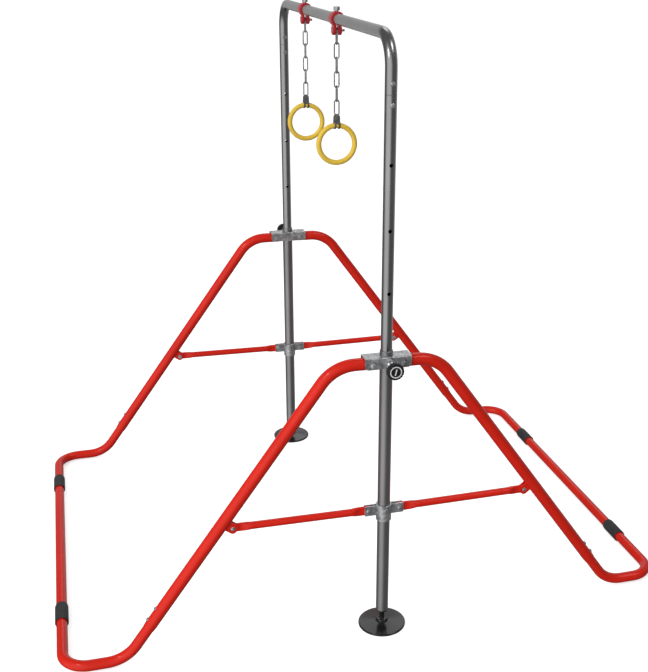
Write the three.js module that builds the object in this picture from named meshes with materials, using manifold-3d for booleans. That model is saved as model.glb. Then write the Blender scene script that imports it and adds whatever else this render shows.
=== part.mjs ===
// Gymnastic rings frame for a child: two telescopic posts joined by a top bar, red folding legs
// on both sides that meet in floor bars, and two yellow rings hung on chains from the top bar.
// Millimetres, +Z up. The origin is on the floor midway between the posts, +X runs along the
// top bar, and the legs spread along Y. Right is +X, left is -X, front is -Y and back is +Y.
import * as THREE from 'three';
import { mergeVertices } from 'three/addons/utils/BufferGeometryUtils.js';
import Module from 'manifold-3d';

const wasm = await Module();
wasm.setup();

// Clearances and cuts
const fitGap = 0.3;
const boltPlay = 0.5;
const cutOverrun = 3;

// Posts, extension tubes and top bar
const postSpacing = 1176;
const postRadius = 16;
const postWall = 1.5;
const postBottom = 46;
const postLip = 12;
const railRadius = 14;
const railWall = 1.5;
const railHeight = 1500;
const railBend = 70;
const railSeamDrop = 124;
const railSeamHeight = railHeight - railSeamDrop;
const railSpigotLength = 46;
const extensionBottom = 620;
const jointBoltOffset = 23;
const jointBoltRadius = 3;

// Height lock: a sprung pin on the bracket and the holes of the extension tube
const lockDrop = 14.4;
const lockHoleRadius = 4;
const lockPinRadius = 3.5;
const firstHoleStep = 170;
const holeStep = 150;
const holeSteps = 2;
const lockHexWidth = 24;
const lockHexLength = 17;
const lockNoseRadius = 8;
const lockNeckRadius = 10;
const lockNeckLength = 16;
const knobRadius = 19.5;
const knobLength = 28;
const knobFlutes = 18;
const knobFluteDepth = 1.2;
const knobEdge = 2;
const knobStemRadius = 12.5;
const knobStemLength = 12;

// Leg brackets: channels open at the bottom
const bracketLength = 116;
const bracketTop = 767;
const bracketDepth = 29;
const bracketWidth = 41;
const bracketWall = 2.5;
const bracketCorner = 10;
const pivotOffset = 38;
const pivotDrop = 19;
const pivotBoltRadius = 4;

// Legs: a level stretch in the bracket, a bend, and a slope to the seam of the floor bar
const legRadius = 15.5;
const legWall = 1.3;
const legCorner = 129.5;
const legAngle = 36;
const legBend = 100;
const legLength = 803;
const legTail = 13;
const legForkRadius = 15;
const legForkWidth = 10.4;
const legForkAngle = 15;
const legBoltOffset = 21;
const legBoltSpacing = 34.4;
const legBoltRadius = 3.5;

// Floor bars and their rubber sleeves
const baseRadius = 13.9;
const baseWall = 1.4;
const baseHeight = 17;
const baseReach = 812;
const baseBend = 90;
const baseCorner = 65;
const baseSpigotLength = 75;
const sleeveRadius = 17.3;
const sleeveLength = 77;
const sleeveBevel = 6;
const sleeveMouth = 4;
const frontSleevePlaces = [353, -389];
const backSleevePlaces = [347, -329];

// Braces and the collars that slide on the posts
const lugHeight = 350;
const lugOffset = 28;
const lugWidth = 26;
const lugTip = 12;
const forkPlate = 3;
const braceRadius = 9.5;
const braceEyeWidth = 23;
const braceEyeThickness = 5.4;
const braceEyeLength = 20;
const braceTaper = 26;
const braceBoltRadius = 4;
const collarHeight = 350;
const collarLength = 58;
const collarWall = 3.2;
const collarLip = 1.2;
const collarButtonRadius = 6;
const earHeight = 347;
const earDepth = 27;
const earReach = 51;
const earBoltOffset = 41;

// Fasteners
const headRadius = 7;
const headHeight = 4.5;
const nutRadius = 7;
const nutHeight = 5.5;
const smallHeadRadius = 6;
const smallHeadHeight = 3.6;

// Feet
const footRadius = 61;
const footRim = 5;
const footCrown = 15;
const footHubRadius = 18;
const footStemRadius = 12;
const footPlugLength = 30;

// Ring clamps on the top bar
const clampPlaces = [102, -272];
const clampWidth = 27;
const clampWall = 4.6;
const clampEarGap = 7;
const clampEarWall = 8.5;
const clampEarRadius = 12;
const clampBoltDrop = 28;
const clampBoltRadius = 3.5;
const clampThreadLength = 9;
const clampPocketDepth = 3.9;
const clampPocketPlay = 0.8;
const clampScrewRadius = 4.5;
const clampScrewNeck = 3;
const clampScrewHeadRadius = 8.5;
const clampScrewHeadHeight = 8;

// Chains, strap hangers and rings
const linkCount = 6;
const linkLength = 44;
const linkWidth = 16;
const linkWire = 1.9;
const linkTouch = 0.3;
const hangerDrop = 25.5;
const hangerWidth = 16;
const hangerNeckWidth = 6;
const hangerWall = 1.5;
const hangerTopPlay = 0.6;
const hangerTopRise = 1;
const hangerRingPlay = 1;
const hangerSlot = 6.5;
const hangerSlotHeight = 14;
const ringRadius = 49;
const ringSection = 7;

// Facets
const tubeSides = 12;
const boreSides = 8;
const boltSides = 8;
const hexSides = 6;
const braceSides = 10;
const bendSteps = 4;
const linkSides = 6;
const linkArcSteps = 5;
const ringSteps = 28;
const ringSides = 8;
const discSides = 24;
const cornerSteps = 3;

const steel = new THREE.MeshStandardMaterial({ color: 0x85888b, roughness: 0.3, metalness: 0.9 });
const darkSteel = new THREE.MeshStandardMaterial({ color: 0x6b6c6d, roughness: 0.45, metalness: 0.8 });
const zinc = new THREE.MeshStandardMaterial({ color: 0x8d9093, roughness: 0.4, metalness: 0.8 });
const redPaint = new THREE.MeshStandardMaterial({ color: 0xc81e14, roughness: 0.3, metalness: 0.1 });
const blackPlastic = new THREE.MeshStandardMaterial({ color: 0x141414, roughness: 0.35 });
const rubber = new THREE.MeshStandardMaterial({ color: 0x3c3c3c, roughness: 0.8 });
const yellowPlastic = new THREE.MeshStandardMaterial({ color: 0xe3b32c, roughness: 0.35 });

const alongX = new THREE.Vector3(1, 0, 0);
const alongY = new THREE.Vector3(0, 1, 0);
const alongZ = new THREE.Vector3(0, 0, 1);
const radians = THREE.MathUtils.degToRad;
const point = (x, y, z) => new THREE.Vector3(x, y, z);

// A closed three.js geometry as a solid with merged corners and its faces pointing out.
function solidOf(geometry) {
  geometry.deleteAttribute('normal');
  geometry.deleteAttribute('uv');
  const merged = mergeVertices(geometry);
  const corners = merged.attributes.position;
  const faces = [];
  let volume = 0;
  const a = new THREE.Vector3();
  const b = new THREE.Vector3();
  const c = new THREE.Vector3();
  for (let i = 0; i < merged.index.count; i += 3) {
    const [p, q, r] = [0, 1, 2].map((k) => merged.index.getX(i + k));
    if (p === q || q === r || r === p) continue;
    faces.push([p, q, r]);
    a.fromBufferAttribute(corners, p);
    b.fromBufferAttribute(corners, q);
    c.fromBufferAttribute(corners, r);
    volume += a.dot(b.cross(c));
  }
  const triVerts = new Uint32Array(faces.flatMap((face) => (volume < 0 ? [...face].reverse() : face)));
  const vertProperties = new Float32Array(corners.array);
  return new wasm.Manifold(new wasm.Mesh({ numProp: 3, vertProperties, triVerts }));
}

const join = (first, ...others) => others.reduce((sum, next) => sum.add(next), first);
const cut = (first, ...others) => others.reduce((rest, next) => rest.subtract(next), first);

function namedMesh(name, solid, material) {
  const { vertProperties, triVerts, numProp } = solid.getMesh();
  const corners = new Float32Array((vertProperties.length / numProp) * 3);
  for (let i = 0; i < corners.length / 3; i += 1) {
    corners.set(vertProperties.subarray(i * numProp, i * numProp + 3), i * 3);
  }
  const geometry = new THREE.BufferGeometry();
  geometry.setAttribute('position', new THREE.BufferAttribute(corners, 3));
  geometry.setIndex(new THREE.BufferAttribute(new Uint32Array(triVerts), 1));
  geometry.computeVertexNormals();
  const mesh = new THREE.Mesh(geometry, material);
  mesh.name = name;
  return mesh;
}

// Turns a shape built along its own Y axis to run from one point in a direction.
function aim(geometry, from, direction) {
  geometry.applyQuaternion(new THREE.Quaternion().setFromUnitVectors(alongY, direction));
  geometry.translate(from.x, from.y, from.z);
  return solidOf(geometry);
}

function rod(from, to, radius, sides = boltSides) {
  const run = to.clone().sub(from);
  const geometry = new THREE.CylinderGeometry(radius, radius, run.length(), sides);
  geometry.translate(0, run.length() / 2, 0);
  return aim(geometry, from, run.normalize());
}

// A turned piece: pairs of radius and distance along the direction, closed on the axis or on itself.
function turned(profile, from, direction, sides) {
  const points = profile.map(([radius, height]) => new THREE.Vector2(radius, height));
  return aim(new THREE.LatheGeometry(points, sides), from, direction);
}

function block(size, centre) {
  const geometry = new THREE.BoxGeometry(size.x, size.y, size.z);
  geometry.translate(centre.x, centre.y, centre.z);
  return solidOf(geometry);
}

// A rod through two walls with a domed head on one side and a hexagon nut on the other.
function bolt(headFace, nutFace, radius, domeRadius, domeHeight, hexRadius, hexHeight) {
  const inward = nutFace.clone().sub(headFace).normalize();
  const outward = inward.clone().negate();
  const dome = [[0, 0], [domeRadius, 0], [domeRadius * 0.7, domeHeight], [0, domeHeight]];
  const nutEnd = nutFace.clone().addScaledVector(inward, hexHeight);
  return join(
    rod(headFace, nutEnd, radius),
    turned(dome, headFace, outward, boltSides),
    rod(nutFace, nutEnd, hexRadius, hexSides),
  );
}

// A path through given points, one step between neighbours, so straights stay single faces.
class BentPath extends THREE.Curve {
  constructor(points) {
    super();
    this.points = points;
  }

  getUtoTmapping(u) {
    return u;
  }

  getPoint(t, target = new THREE.Vector3()) {
    const place = t * (this.points.length - 1);
    const first = Math.min(Math.floor(place), this.points.length - 2);
    return target.lerpVectors(this.points[first], this.points[first + 1], place - first);
  }
}

// Points of a bend of a radius where two straights would meet at a corner.
function bendPoints(before, corner, after, radius) {
  const back = before.clone().sub(corner).normalize();
  const ahead = after.clone().sub(corner).normalize();
  const half = back.angleTo(ahead) / 2;
  const centre = corner.clone().addScaledVector(back.clone().add(ahead).normalize(), radius / Math.sin(half));
  const start = corner.clone().addScaledVector(back, radius / Math.tan(half));
  const spoke = start.clone().sub(centre);
  const axis = ahead.clone().cross(back).normalize();
  const turn = Math.PI - 2 * half;
  return Array.from({ length: bendSteps + 1 }, (_, i) =>
    centre.clone().add(spoke.clone().applyAxisAngle(axis, (turn * i) / bendSteps)));
}

function ringShape(outer, inner, sides, innerSides = sides) {
  const circle = (radius, count) => Array.from({ length: count }, (_, i) => {
    const angle = (2 * Math.PI * (i + 1 / 2)) / count;
    return new THREE.Vector2(radius * Math.cos(angle), radius * Math.sin(angle));
  });
  const shape = new THREE.Shape(circle(outer, sides));
  if (inner > 0) shape.holes.push(new THREE.Path(circle(inner, innerSides)));
  return shape;
}

function sweep(shape, points) {
  const extrudePath = new BentPath(points);
  return solidOf(new THREE.ExtrudeGeometry(shape, { steps: points.length - 1, extrudePath }));
}

function tube(points, outer, inner, innerSides = tubeSides) {
  return sweep(ringShape(outer, inner, tubeSides, innerSides), points);
}

// A flat outline in two axes, drawn out to a thickness along the third.
function plate(outline, axis, from, thickness) {
  const shape = new THREE.Shape(outline.map(([u, v]) => new THREE.Vector2(u, v)));
  const geometry = new THREE.ExtrudeGeometry(shape, { depth: thickness, bevelEnabled: false });
  const basis = new THREE.Matrix4();
  if (axis === alongX) basis.makeBasis(alongY, alongZ, alongX);
  if (axis === alongY) basis.makeBasis(alongX, alongZ, alongY.clone().negate());
  geometry.applyMatrix4(basis);
  geometry.translate(axis.x * from, axis.y * from, axis.z * from);
  if (axis === alongY) geometry.translate(0, thickness, 0);
  return solidOf(geometry);
}

function arc(centreU, centreV, radius, fromAngle, toAngle, steps) {
  return Array.from({ length: steps + 1 }, (_, i) => {
    const angle = radians(fromAngle + ((toAngle - fromAngle) * i) / steps);
    return [centreU + radius * Math.cos(angle), centreV + radius * Math.sin(angle)];
  });
}

const postX = postSpacing / 2;
const postTop = bracketTop + postLip;
const pivotHeight = bracketTop - pivotDrop;
const lockHeight = bracketTop - lockDrop;
const slope = point(0, Math.sin(radians(legAngle)), -Math.cos(radians(legAngle)));
const legBore = legRadius - legWall;
const railBore = railRadius - railWall;
const spigotRadius = railBore - fitGap;
const lockHoleHeights = [lockHeight, lockHeight + firstHoleStep];
for (let i = 1; i <= holeSteps; i += 1) lockHoleHeights.push(lockHeight + firstHoleStep + i * holeStep);
const jointBoltHeights = [railSeamHeight + jointBoltOffset - fitGap, railSeamHeight - jointBoltOffset];
const flangeGap = bracketWidth / 2 - bracketWall;
const forkGap = braceEyeThickness / 2 + 2 * fitGap;
const legAxisAt = (height) => legCorner + (pivotHeight - height) * Math.tan(radians(legAngle));
const lugReach = legAxisAt(lugHeight) - lugOffset / Math.cos(radians(legAngle));

const frame = new THREE.Group();
const rightSide = new THREE.Group();
const leftSide = new THREE.Group();
rightSide.position.x = postX;
leftSide.position.x = -postX;
frame.add(rightSide, leftSide);

// Post: open tube with the hole of the lock pin on its outer face.
function post(out) {
  const wall = tube([point(0, 0, postBottom), point(0, 0, postTop)], postRadius, postRadius - postWall);
  const pinHole = rod(point(0, 0, lockHeight), point(out * 2 * postRadius, 0, lockHeight), lockHoleRadius);
  return cut(wall, pinHole);
}

// Foot: a shallow round disc with a hub, and a stem whose plug fills the end of the post.
function foot() {
  const plugRadius = postRadius - postWall - 3 * fitGap;
  const shoulder = postBottom - fitGap;
  const profile = [
    [0, 0],
    [footRadius, 0],
    [footRadius, footRim / 2],
    [footRadius - footRim / 2, footRim],
    [(footRadius + footHubRadius) / 2, (footRim + footCrown) / 2 + footRim / 4],
    [footHubRadius, footCrown],
    [footStemRadius, footCrown + footRim],
    [footStemRadius, shoulder - footRim],
    [postRadius, shoulder - footRim],
    [postRadius, shoulder],
    [plugRadius, shoulder],
    [plugRadius, postBottom + footPlugLength],
    [0, postBottom + footPlugLength],
  ];
  return turned(profile, point(0, 0, 0), alongZ, discSides);
}

function lockHoles(out) {
  return lockHoleHeights.map((height) =>
    rod(point(-out * 2 * railRadius, 0, height), point(out * 2 * railRadius, 0, height), lockHoleRadius));
}

function jointBoltHoles() {
  return jointBoltHeights.map((height) =>
    rod(point(-2 * railRadius, 0, height), point(2 * railRadius, 0, height), jointBoltRadius + fitGap));
}

// Extension tube: slides in the post, with the row of lock holes through it.
function extension(out) {
  const wall = tube([point(0, 0, extensionBottom), point(0, 0, railSeamHeight - fitGap)], railRadius, railBore);
  return cut(wall, ...lockHoles(out), jointBoltHoles()[1]);
}

// Top bar: one bent tube whose ends are drawn down to spigots inside the extension tubes.
function topBar() {
  const corners = [-1, 1].map((side) => point(side * postX, 0, railHeight));
  const ends = [-1, 1].map((side) => point(side * postX, 0, railSeamHeight));
  const path = [
    ends[0],
    ...bendPoints(ends[0], corners[0], corners[1], railBend),
    ...bendPoints(corners[0], corners[1], ends[1], railBend),
    ends[1],
  ];
  const spigots = ends.map((end) => {
    const low = end.clone().addScaledVector(alongZ, -railSpigotLength);
    const high = end.clone().addScaledVector(alongZ, railWall * 2);
    return tube([low, high], spigotRadius, spigotRadius - railWall, boreSides);
  });
  const necks = ends.map((end) => {
    const high = end.clone().addScaledVector(alongZ, railWall * 2);
    return tube([end, high], railRadius - railWall / 2, spigotRadius - railWall, boreSides);
  });
  const holes = [-postX, postX].flatMap((x) => jointBoltHoles().map((hole) => hole.translate(x, 0, 0)));
  return cut(join(tube(path, railRadius, railBore, boreSides), ...spigots, ...necks), ...holes);
}

function jointBolt(out, height) {
  const face = railRadius + fitGap;
  return bolt(point(out * face, 0, height), point(-out * face, 0, height), jointBoltRadius,
    smallHeadRadius, smallHeadHeight, smallHeadRadius, smallHeadHeight);
}

// Bracket: an upturned channel around the post, with the leg pivots between its flanges.
function bracket(out) {
  const bottom = bracketTop - bracketDepth;
  const half = bracketLength / 2;
  const outline = [
    [-half, bracketTop],
    ...arc(-half + bracketCorner, bottom + bracketCorner, bracketCorner, 180, 270, cornerSteps),
    ...arc(half - bracketCorner, bottom + bracketCorner, bracketCorner, 270, 360, cornerSteps),
    [half, bracketTop],
  ];
  const body = plate(outline, alongX, -bracketWidth / 2, bracketWidth);
  const hollow = block(
    point(2 * flangeGap, bracketLength + 2 * cutOverrun, bracketDepth),
    point(0, 0, bracketTop - bracketWall - bracketDepth / 2),
  );
  const postHole = rod(point(0, 0, bottom), point(0, 0, bracketTop + cutOverrun), postRadius + fitGap, discSides);
  const pivotHoles = [-1, 1].map((side) =>
    rod(point(-bracketWidth, side * pivotOffset, pivotHeight), point(bracketWidth, side * pivotOffset, pivotHeight),
      pivotBoltRadius + fitGap));
  const pinHole = rod(point(0, 0, lockHeight), point(out * bracketWidth, 0, lockHeight), lockNoseRadius + fitGap);
  return cut(body, hollow, postHole, ...pivotHoles, pinHole);
}

function pivotBolt(out, side) {
  const face = bracketWidth / 2 + fitGap;
  const y = side * pivotOffset;
  return bolt(point(out * face, y, pivotHeight), point(-out * face, y, pivotHeight), pivotBoltRadius,
    headRadius, headHeight, nutRadius, nutHeight);
}

// Housing of the lock pin: a hexagon on the flange, a nose that meets the post and a threaded neck.
function pinHousing(out) {
  const seat = bracketWidth / 2 + fitGap;
  const at = (x) => point(out * x, 0, lockHeight);
  const hexRadius = lockHexWidth / 2 / Math.cos(Math.PI / hexSides);
  const body = join(
    rod(at(seat), at(seat + lockHexLength), hexRadius, hexSides),
    rod(at(postRadius + fitGap), at(seat + lockHexLength / 2), lockNoseRadius),
    rod(at(seat + lockHexLength / 2), at(seat + lockHexLength + lockNeckLength), lockNeckRadius, tubeSides),
  );
  return cut(body, rod(at(0), at(seat + lockHexLength + lockNeckLength + cutOverrun), lockPinRadius + fitGap));
}

// Knob with its pin: a fluted disc on a stem, pulled out along the pin to free the extension tube.
function lockKnob(out) {
  const back = bracketWidth / 2 + lockHexLength + lockNeckLength + 2 * fitGap;
  const fluteSteps = knobFlutes * 2;
  const outline = Array.from({ length: fluteSteps }, (_, i) => {
    const radius = knobRadius - (i % 2) * knobFluteDepth;
    const angle = (2 * Math.PI * i) / fluteSteps;
    return [radius * Math.cos(angle), lockHeight + radius * Math.sin(angle)];
  });
  const grip = plate(outline, alongX, 0, knobLength);
  const rounded = turned([
    [0, 0],
    [knobStemRadius, 0],
    [knobStemRadius, knobStemLength],
    [knobRadius, knobStemLength + knobEdge],
    [knobRadius, knobLength - knobEdge],
    [knobRadius - knobEdge, knobLength],
    [0, knobLength],
  ], point(0, 0, lockHeight), alongX, discSides);
  const body = grip.intersect(rounded).translate(out > 0 ? back : -back - knobLength, 0, 0);
  const nose = railRadius + fitGap;
  return join(body, rod(point(out * nose, 0, lockHeight), point(out * (back + cutOverrun), 0, lockHeight), lockPinRadius));
}

const legCornerPoint = (side) => point(0, side * legCorner, pivotHeight);
const slopeOf = (side) => point(0, side * slope.y, slope.z);
const legPoint = (side, along) => legCornerPoint(side).addScaledVector(slopeOf(side), along);

// Fork at the inner end of a leg: a round end about the pivot with a slot that opens inwards.
function legFork(side) {
  const pivot = point(0, side * pivotOffset, pivotHeight);
  const wide = 2 * legRadius + 2 * cutOverrun;
  const spare = block(point(wide, 2 * legForkRadius, wide),
    point(0, side * (pivotOffset - legForkRadius), pivotHeight));
  const round = rod(point(-wide, pivot.y, pivotHeight), point(wide, pivot.y, pivotHeight), legForkRadius, tubeSides);
  const slotLength = 2 * legForkRadius;
  const slot = new THREE.BoxGeometry(wide, slotLength, legForkWidth);
  slot.translate(0, (-side * slotLength) / 2, 0);
  slot.rotateX(radians(-side * legForkAngle));
  slot.translate(0, pivot.y, pivotHeight);
  const eye = rod(point(-wide, pivot.y, pivotHeight), point(wide, pivot.y, pivotHeight), legForkWidth / 2);
  return [cut(spare, round), solidOf(slot), eye];
}

function legBoltPlaces(side) {
  return [legBoltOffset, legBoltOffset + legBoltSpacing].map((up) => legPoint(side, legLength - up));
}

// Leg: bent tube with the fork above, the brace lug inside, and two bolts through its lower end.
function leg(out, side) {
  const start = point(0, side * (pivotOffset - legTail), pivotHeight);
  const end = legPoint(side, legLength);
  const path = [start, ...bendPoints(start, legCornerPoint(side), end, legBend), end];
  const outward = point(0, side * -slope.z, slope.y);
  const shell = cut(tube(path, legRadius, legBore), ...legFork(side));
  const bolts = legBoltPlaces(side).map((place) => bolt(
    place.clone().addScaledVector(outward, legRadius - fitGap),
    place.clone().addScaledVector(outward, fitGap - legRadius),
    legBoltRadius, smallHeadRadius, smallHeadHeight, smallHeadRadius, smallHeadHeight,
  ));
  const lugCentre = point(0, side * lugReach, lugHeight);
  const down = slopeOf(side);
  const lugs = [-1, 1].map((face) => {
    const corners = [[-1, -lugTip], [1, -lugTip], [1, lugOffset - legBore], [-1, lugOffset - legBore]];
    const outline = corners.map(([across, away]) => {
      const corner = lugCentre.clone().addScaledVector(down, (across * lugWidth) / 2).addScaledVector(outward, away);
      return [corner.y, corner.z];
    });
    return plate(outline, alongX, face > 0 ? forkGap : -forkGap - forkPlate, forkPlate);
  });
  const lugFace = forkGap + forkPlate;
  const lugBolt = bolt(
    point(out * lugFace, lugCentre.y, lugHeight),
    point(-out * lugFace, lugCentre.y, lugHeight),
    braceBoltRadius, headRadius, headHeight, nutRadius, nutHeight,
  );
  return join(shell, ...lugs, lugBolt, ...bolts);
}

// Floor bar: a bent tube from the seam of one leg, along the floor, to the seam of the other.
function floorBar(side) {
  const at = (x, along) => legPoint(side, along).setX(x);
  const knee = (x) => point(x, side * legAxisAt(baseHeight), baseHeight);
  const corner = (x) => point(x, side * baseReach, baseHeight);
  const top = legLength - baseSpigotLength;
  const path = [
    at(postX, top),
    ...bendPoints(at(postX, top), knee(postX), corner(postX), baseBend),
    ...bendPoints(knee(postX), corner(postX), corner(-postX), baseCorner),
    ...bendPoints(corner(postX), corner(-postX), knee(-postX), baseCorner),
    ...bendPoints(corner(-postX), knee(-postX), at(-postX, top), baseBend),
    at(-postX, top),
  ];
  const outward = point(0, side * -slope.z, slope.y);
  const holes = [-postX, postX].flatMap((x) => legBoltPlaces(side).map((place) => {
    const centre = place.setX(x);
    return rod(centre.clone().addScaledVector(outward, -2 * baseRadius),
      centre.clone().addScaledVector(outward, 2 * baseRadius), legBoltRadius + boltPlay);
  }));
  return cut(tube(path, baseRadius, baseRadius - baseWall, boreSides), ...holes);
}

// Rubber sleeve: bevelled at one end, open and dished at the other, cut flat where it stands.
function sleeve(side, x) {
  const bore = baseRadius + fitGap;
  const far = -sleeveLength / 2;
  const near = sleeveLength / 2;
  const mouth = (bore + sleeveRadius) / 2;
  const profile = [
    [bore, far],
    [(bore + sleeveRadius) / 2, far],
    [sleeveRadius, far + sleeveBevel],
    [sleeveRadius, near],
    [mouth, near],
    [mouth, near - sleeveMouth],
    [bore, near - sleeveMouth],
    [bore, far],
  ];
  const body = turned(profile, point(x, side * baseReach, baseHeight), alongX, discSides);
  const ground = block(point(2 * sleeveLength, 2 * sleeveLength, sleeveRadius),
    point(x, side * baseReach, -sleeveRadius / 2));
  return cut(body, ground);
}

// Collar: a sleeve that slides on the post, with forked ears for both braces and their bolts.
function collar(out) {
  const bore = postRadius + fitGap;
  const outer = bore + collarWall;
  const low = -collarLength / 2;
  const high = collarLength / 2;
  const profile = [
    [bore, low],
    [outer - collarLip, low],
    [outer, low + collarLip],
    [outer, high - collarLip],
    [outer - collarLip, high],
    [bore, high],
    [bore, low],
  ];
  const sleeveBody = turned(profile, point(0, 0, collarHeight), alongZ, 2 * tubeSides);
  const ears = [-1, 1].flatMap((side) => [-1, 1].map((face) => {
    const from = bore + collarWall / 4;
    return block(point(forkPlate, earReach - from, earDepth),
      point(face * (forkGap + forkPlate / 2), (side * (from + earReach)) / 2, earHeight));
  }));
  const earFace = forkGap + forkPlate;
  const bolts = [-1, 1].map((side) => bolt(
    point(out * earFace, side * earBoltOffset, earHeight),
    point(-out * earFace, side * earBoltOffset, earHeight),
    braceBoltRadius, headRadius, headHeight, nutRadius, nutHeight,
  ));
  const button = turned([[0, 0], [collarButtonRadius, 0], [collarButtonRadius * 0.8, collarWall], [0, collarWall * 1.4]],
    point(out * (outer - collarWall / 4), 0, collarHeight), point(out, 0, 0), boltSides);
  return join(sleeveBody, ...ears, ...bolts, button);
}

// Brace: a round tube pressed flat at both ends, with an eye for the bolt in each.
function brace(side) {
  const near = point(0, side * earBoltOffset, earHeight);
  const far = point(0, side * lugReach, lugHeight);
  const run = far.clone().sub(near);
  const span = run.length();
  const tip = braceEyeWidth / 2;
  const stations = [-tip, -tip / 2, 0, braceEyeLength, braceEyeLength + braceTaper / 2, braceEyeLength + braceTaper];
  const heights = [...stations, ...stations.map((station) => span - station).reverse()];
  const profile = [[0, heights[0]], ...heights.map((height) => [braceRadius, height]), [0, heights[heights.length - 1]]];
  const geometry = new THREE.LatheGeometry(profile.map(([r, h]) => new THREE.Vector2(r, h)), braceSides);
  const places = geometry.attributes.position;
  for (let i = 0; i < places.count; i += 1) {
    const along = Math.min(places.getY(i), span - places.getY(i));
    const open = THREE.MathUtils.smoothstep(along, braceEyeLength, braceEyeLength + braceTaper);
    const eye = along < 0 ? Math.sqrt(Math.max(0, 1 - (along / tip) ** 2 * 0.9)) : 1;
    const thin = THREE.MathUtils.lerp(braceEyeThickness / 2 / braceRadius, 1, open);
    const wide = THREE.MathUtils.lerp((eye * tip) / braceRadius, 1, open);
    places.setX(i, places.getX(i) * thin);
    places.setZ(i, places.getZ(i) * wide);
  }
  const turn = new THREE.Matrix4().makeBasis(alongX, run.clone().normalize(), run.clone().normalize().cross(alongX).negate());
  geometry.applyMatrix4(turn);
  geometry.translate(near.x, near.y, near.z);
  const holes = [near, far].map((eye) =>
    rod(point(-braceRadius, eye.y, eye.z), point(braceRadius, eye.y, eye.z), braceBoltRadius + boltPlay));
  return cut(solidOf(geometry), ...holes);
}

// Ring clamp: a band around the top bar whose ends close in to two thick round ears below it,
// each with a pocket that takes the head or the nut of the cross bolt.
function ringClamp() {
  const inner = railRadius + fitGap;
  const outer = inner + clampWall;
  const earIn = clampEarGap / 2;
  const earOut = earIn + clampEarWall;
  const foot = -clampBoltDrop - clampEarRadius;
  const neck = -clampBoltDrop + clampEarRadius;
  const opening = Math.asin(earIn / inner) * THREE.MathUtils.RAD2DEG;
  const meeting = Math.asin(Math.min(1, earOut / outer)) * THREE.MathUtils.RAD2DEG;
  const arcSteps = 5 * cornerSteps;
  const outline = [
    [-earOut, foot],
    ...arc(0, 0, outer, 270 - meeting, -90 + meeting, arcSteps),
    [earOut, foot],
    [earIn, foot],
    ...arc(0, 0, inner, -90 + opening, 270 - opening, arcSteps),
    [-earIn, foot],
  ];
  const band = plate(outline, alongX, -clampWidth / 2, clampWidth);
  const sideShape = [
    ...arc(0, -clampBoltDrop, clampEarRadius, 180, 360, 2 * cornerSteps),
    [clampEarRadius, neck + clampEarRadius / 3],
    [clampWidth / 2, neck + clampEarRadius],
    [clampWidth / 2, outer + cutOverrun],
    [-clampWidth / 2, outer + cutOverrun],
    [-clampWidth / 2, neck + clampEarRadius],
    [-clampEarRadius, neck + clampEarRadius / 3],
  ];
  const side = plate(sideShape, alongY, -2 * outer, 4 * outer);
  const boltHole = rod(point(0, -2 * outer, -clampBoltDrop), point(0, 2 * outer, -clampBoltDrop), clampBoltRadius + fitGap);
  const screwHole = rod(point(0, 0, inner - cutOverrun), point(0, 0, 2 * outer), clampScrewRadius + fitGap);
  const pockets = [-1, 1].map((face) => rod(point(0, face * (earOut - clampPocketDepth), -clampBoltDrop),
    point(0, face * 2 * outer, -clampBoltDrop), smallHeadRadius + clampPocketPlay));
  return cut(band.intersect(side), boltHole, screwHole, ...pockets);
}

// Hexagon screw that stands on the clamp and bears on the top bar.
function clampScrew() {
  const start = railRadius + fitGap;
  const shoulder = railRadius + fitGap + clampWall + clampScrewNeck;
  return join(
    rod(point(0, 0, start), point(0, 0, shoulder + clampScrewHeadHeight / 2), clampScrewRadius),
    rod(point(0, 0, shoulder), point(0, 0, shoulder + clampScrewHeadHeight), clampScrewHeadRadius, hexSides),
  );
}

// Cross bolt between the clamp ears, which carries the top link of the chain.
function clampBolt() {
  const face = clampEarGap / 2 + clampEarWall - clampPocketDepth + fitGap;
  const z = -clampBoltDrop;
  const head = bolt(point(0, -face, z), point(0, face, z), clampBoltRadius,
    smallHeadRadius, smallHeadHeight, smallHeadRadius, smallHeadHeight);
  return join(head, rod(point(0, 0, z), point(0, face + clampPocketDepth + clampThreadLength, z), clampBoltRadius));
}

const linkRise = linkLength / 2 - linkWidth / 2;
const linkPitch = linkLength - 4 * linkWire - linkTouch;
const wireDrop = linkLength / 2 - linkWire;

// Chain link: a round wire bent to a long ring, standing in the XZ plane about its own centre.
function chainLink() {
  const turn = linkWidth / 2 - linkWire;
  const half = (rise, from) => arc(0, rise, turn, from, from + 180, linkArcSteps);
  const loop = [...half(linkRise, 0), ...half(-linkRise, 180)];
  const points = [...loop, loop[0]].map(([x, z]) => point(x, 0, z));
  const path = new BentPath(points);
  const steps = points.length - 1;
  const shape = ringShape(linkWire, 0, linkSides);
  const corners = shape.getPoints();
  const rings = points.slice(0, steps).map((place, i) => {
    const before = points[(i + steps - 1) % steps];
    const after = points[(i + 1) % steps];
    const ahead = after.clone().sub(place).normalize().add(place.clone().sub(before).normalize()).normalize();
    const sideways = alongY.clone().cross(ahead).normalize();
    return corners.slice(0, linkSides).map((corner) =>
      path.getPoint(i / steps).addScaledVector(sideways, corner.x).addScaledVector(alongY, corner.y));
  });
  return closedLoop(rings);
}

// Skin over rings of points that follow each other round and close on the first.
function closedLoop(rings) {
  const sides = rings[0].length;
  const geometry = new THREE.BufferGeometry().setFromPoints(rings.flat());
  const faces = [];
  rings.forEach((_, i) => {
    const next = (i + 1) % rings.length;
    for (let k = 0; k < sides; k += 1) {
      const l = (k + 1) % sides;
      const [a, b, c, d] = [i * sides + k, i * sides + l, next * sides + l, next * sides + k];
      faces.push(a, b, c, a, c, d);
    }
  });
  geometry.setIndex(faces);
  return solidOf(geometry);
}

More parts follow.
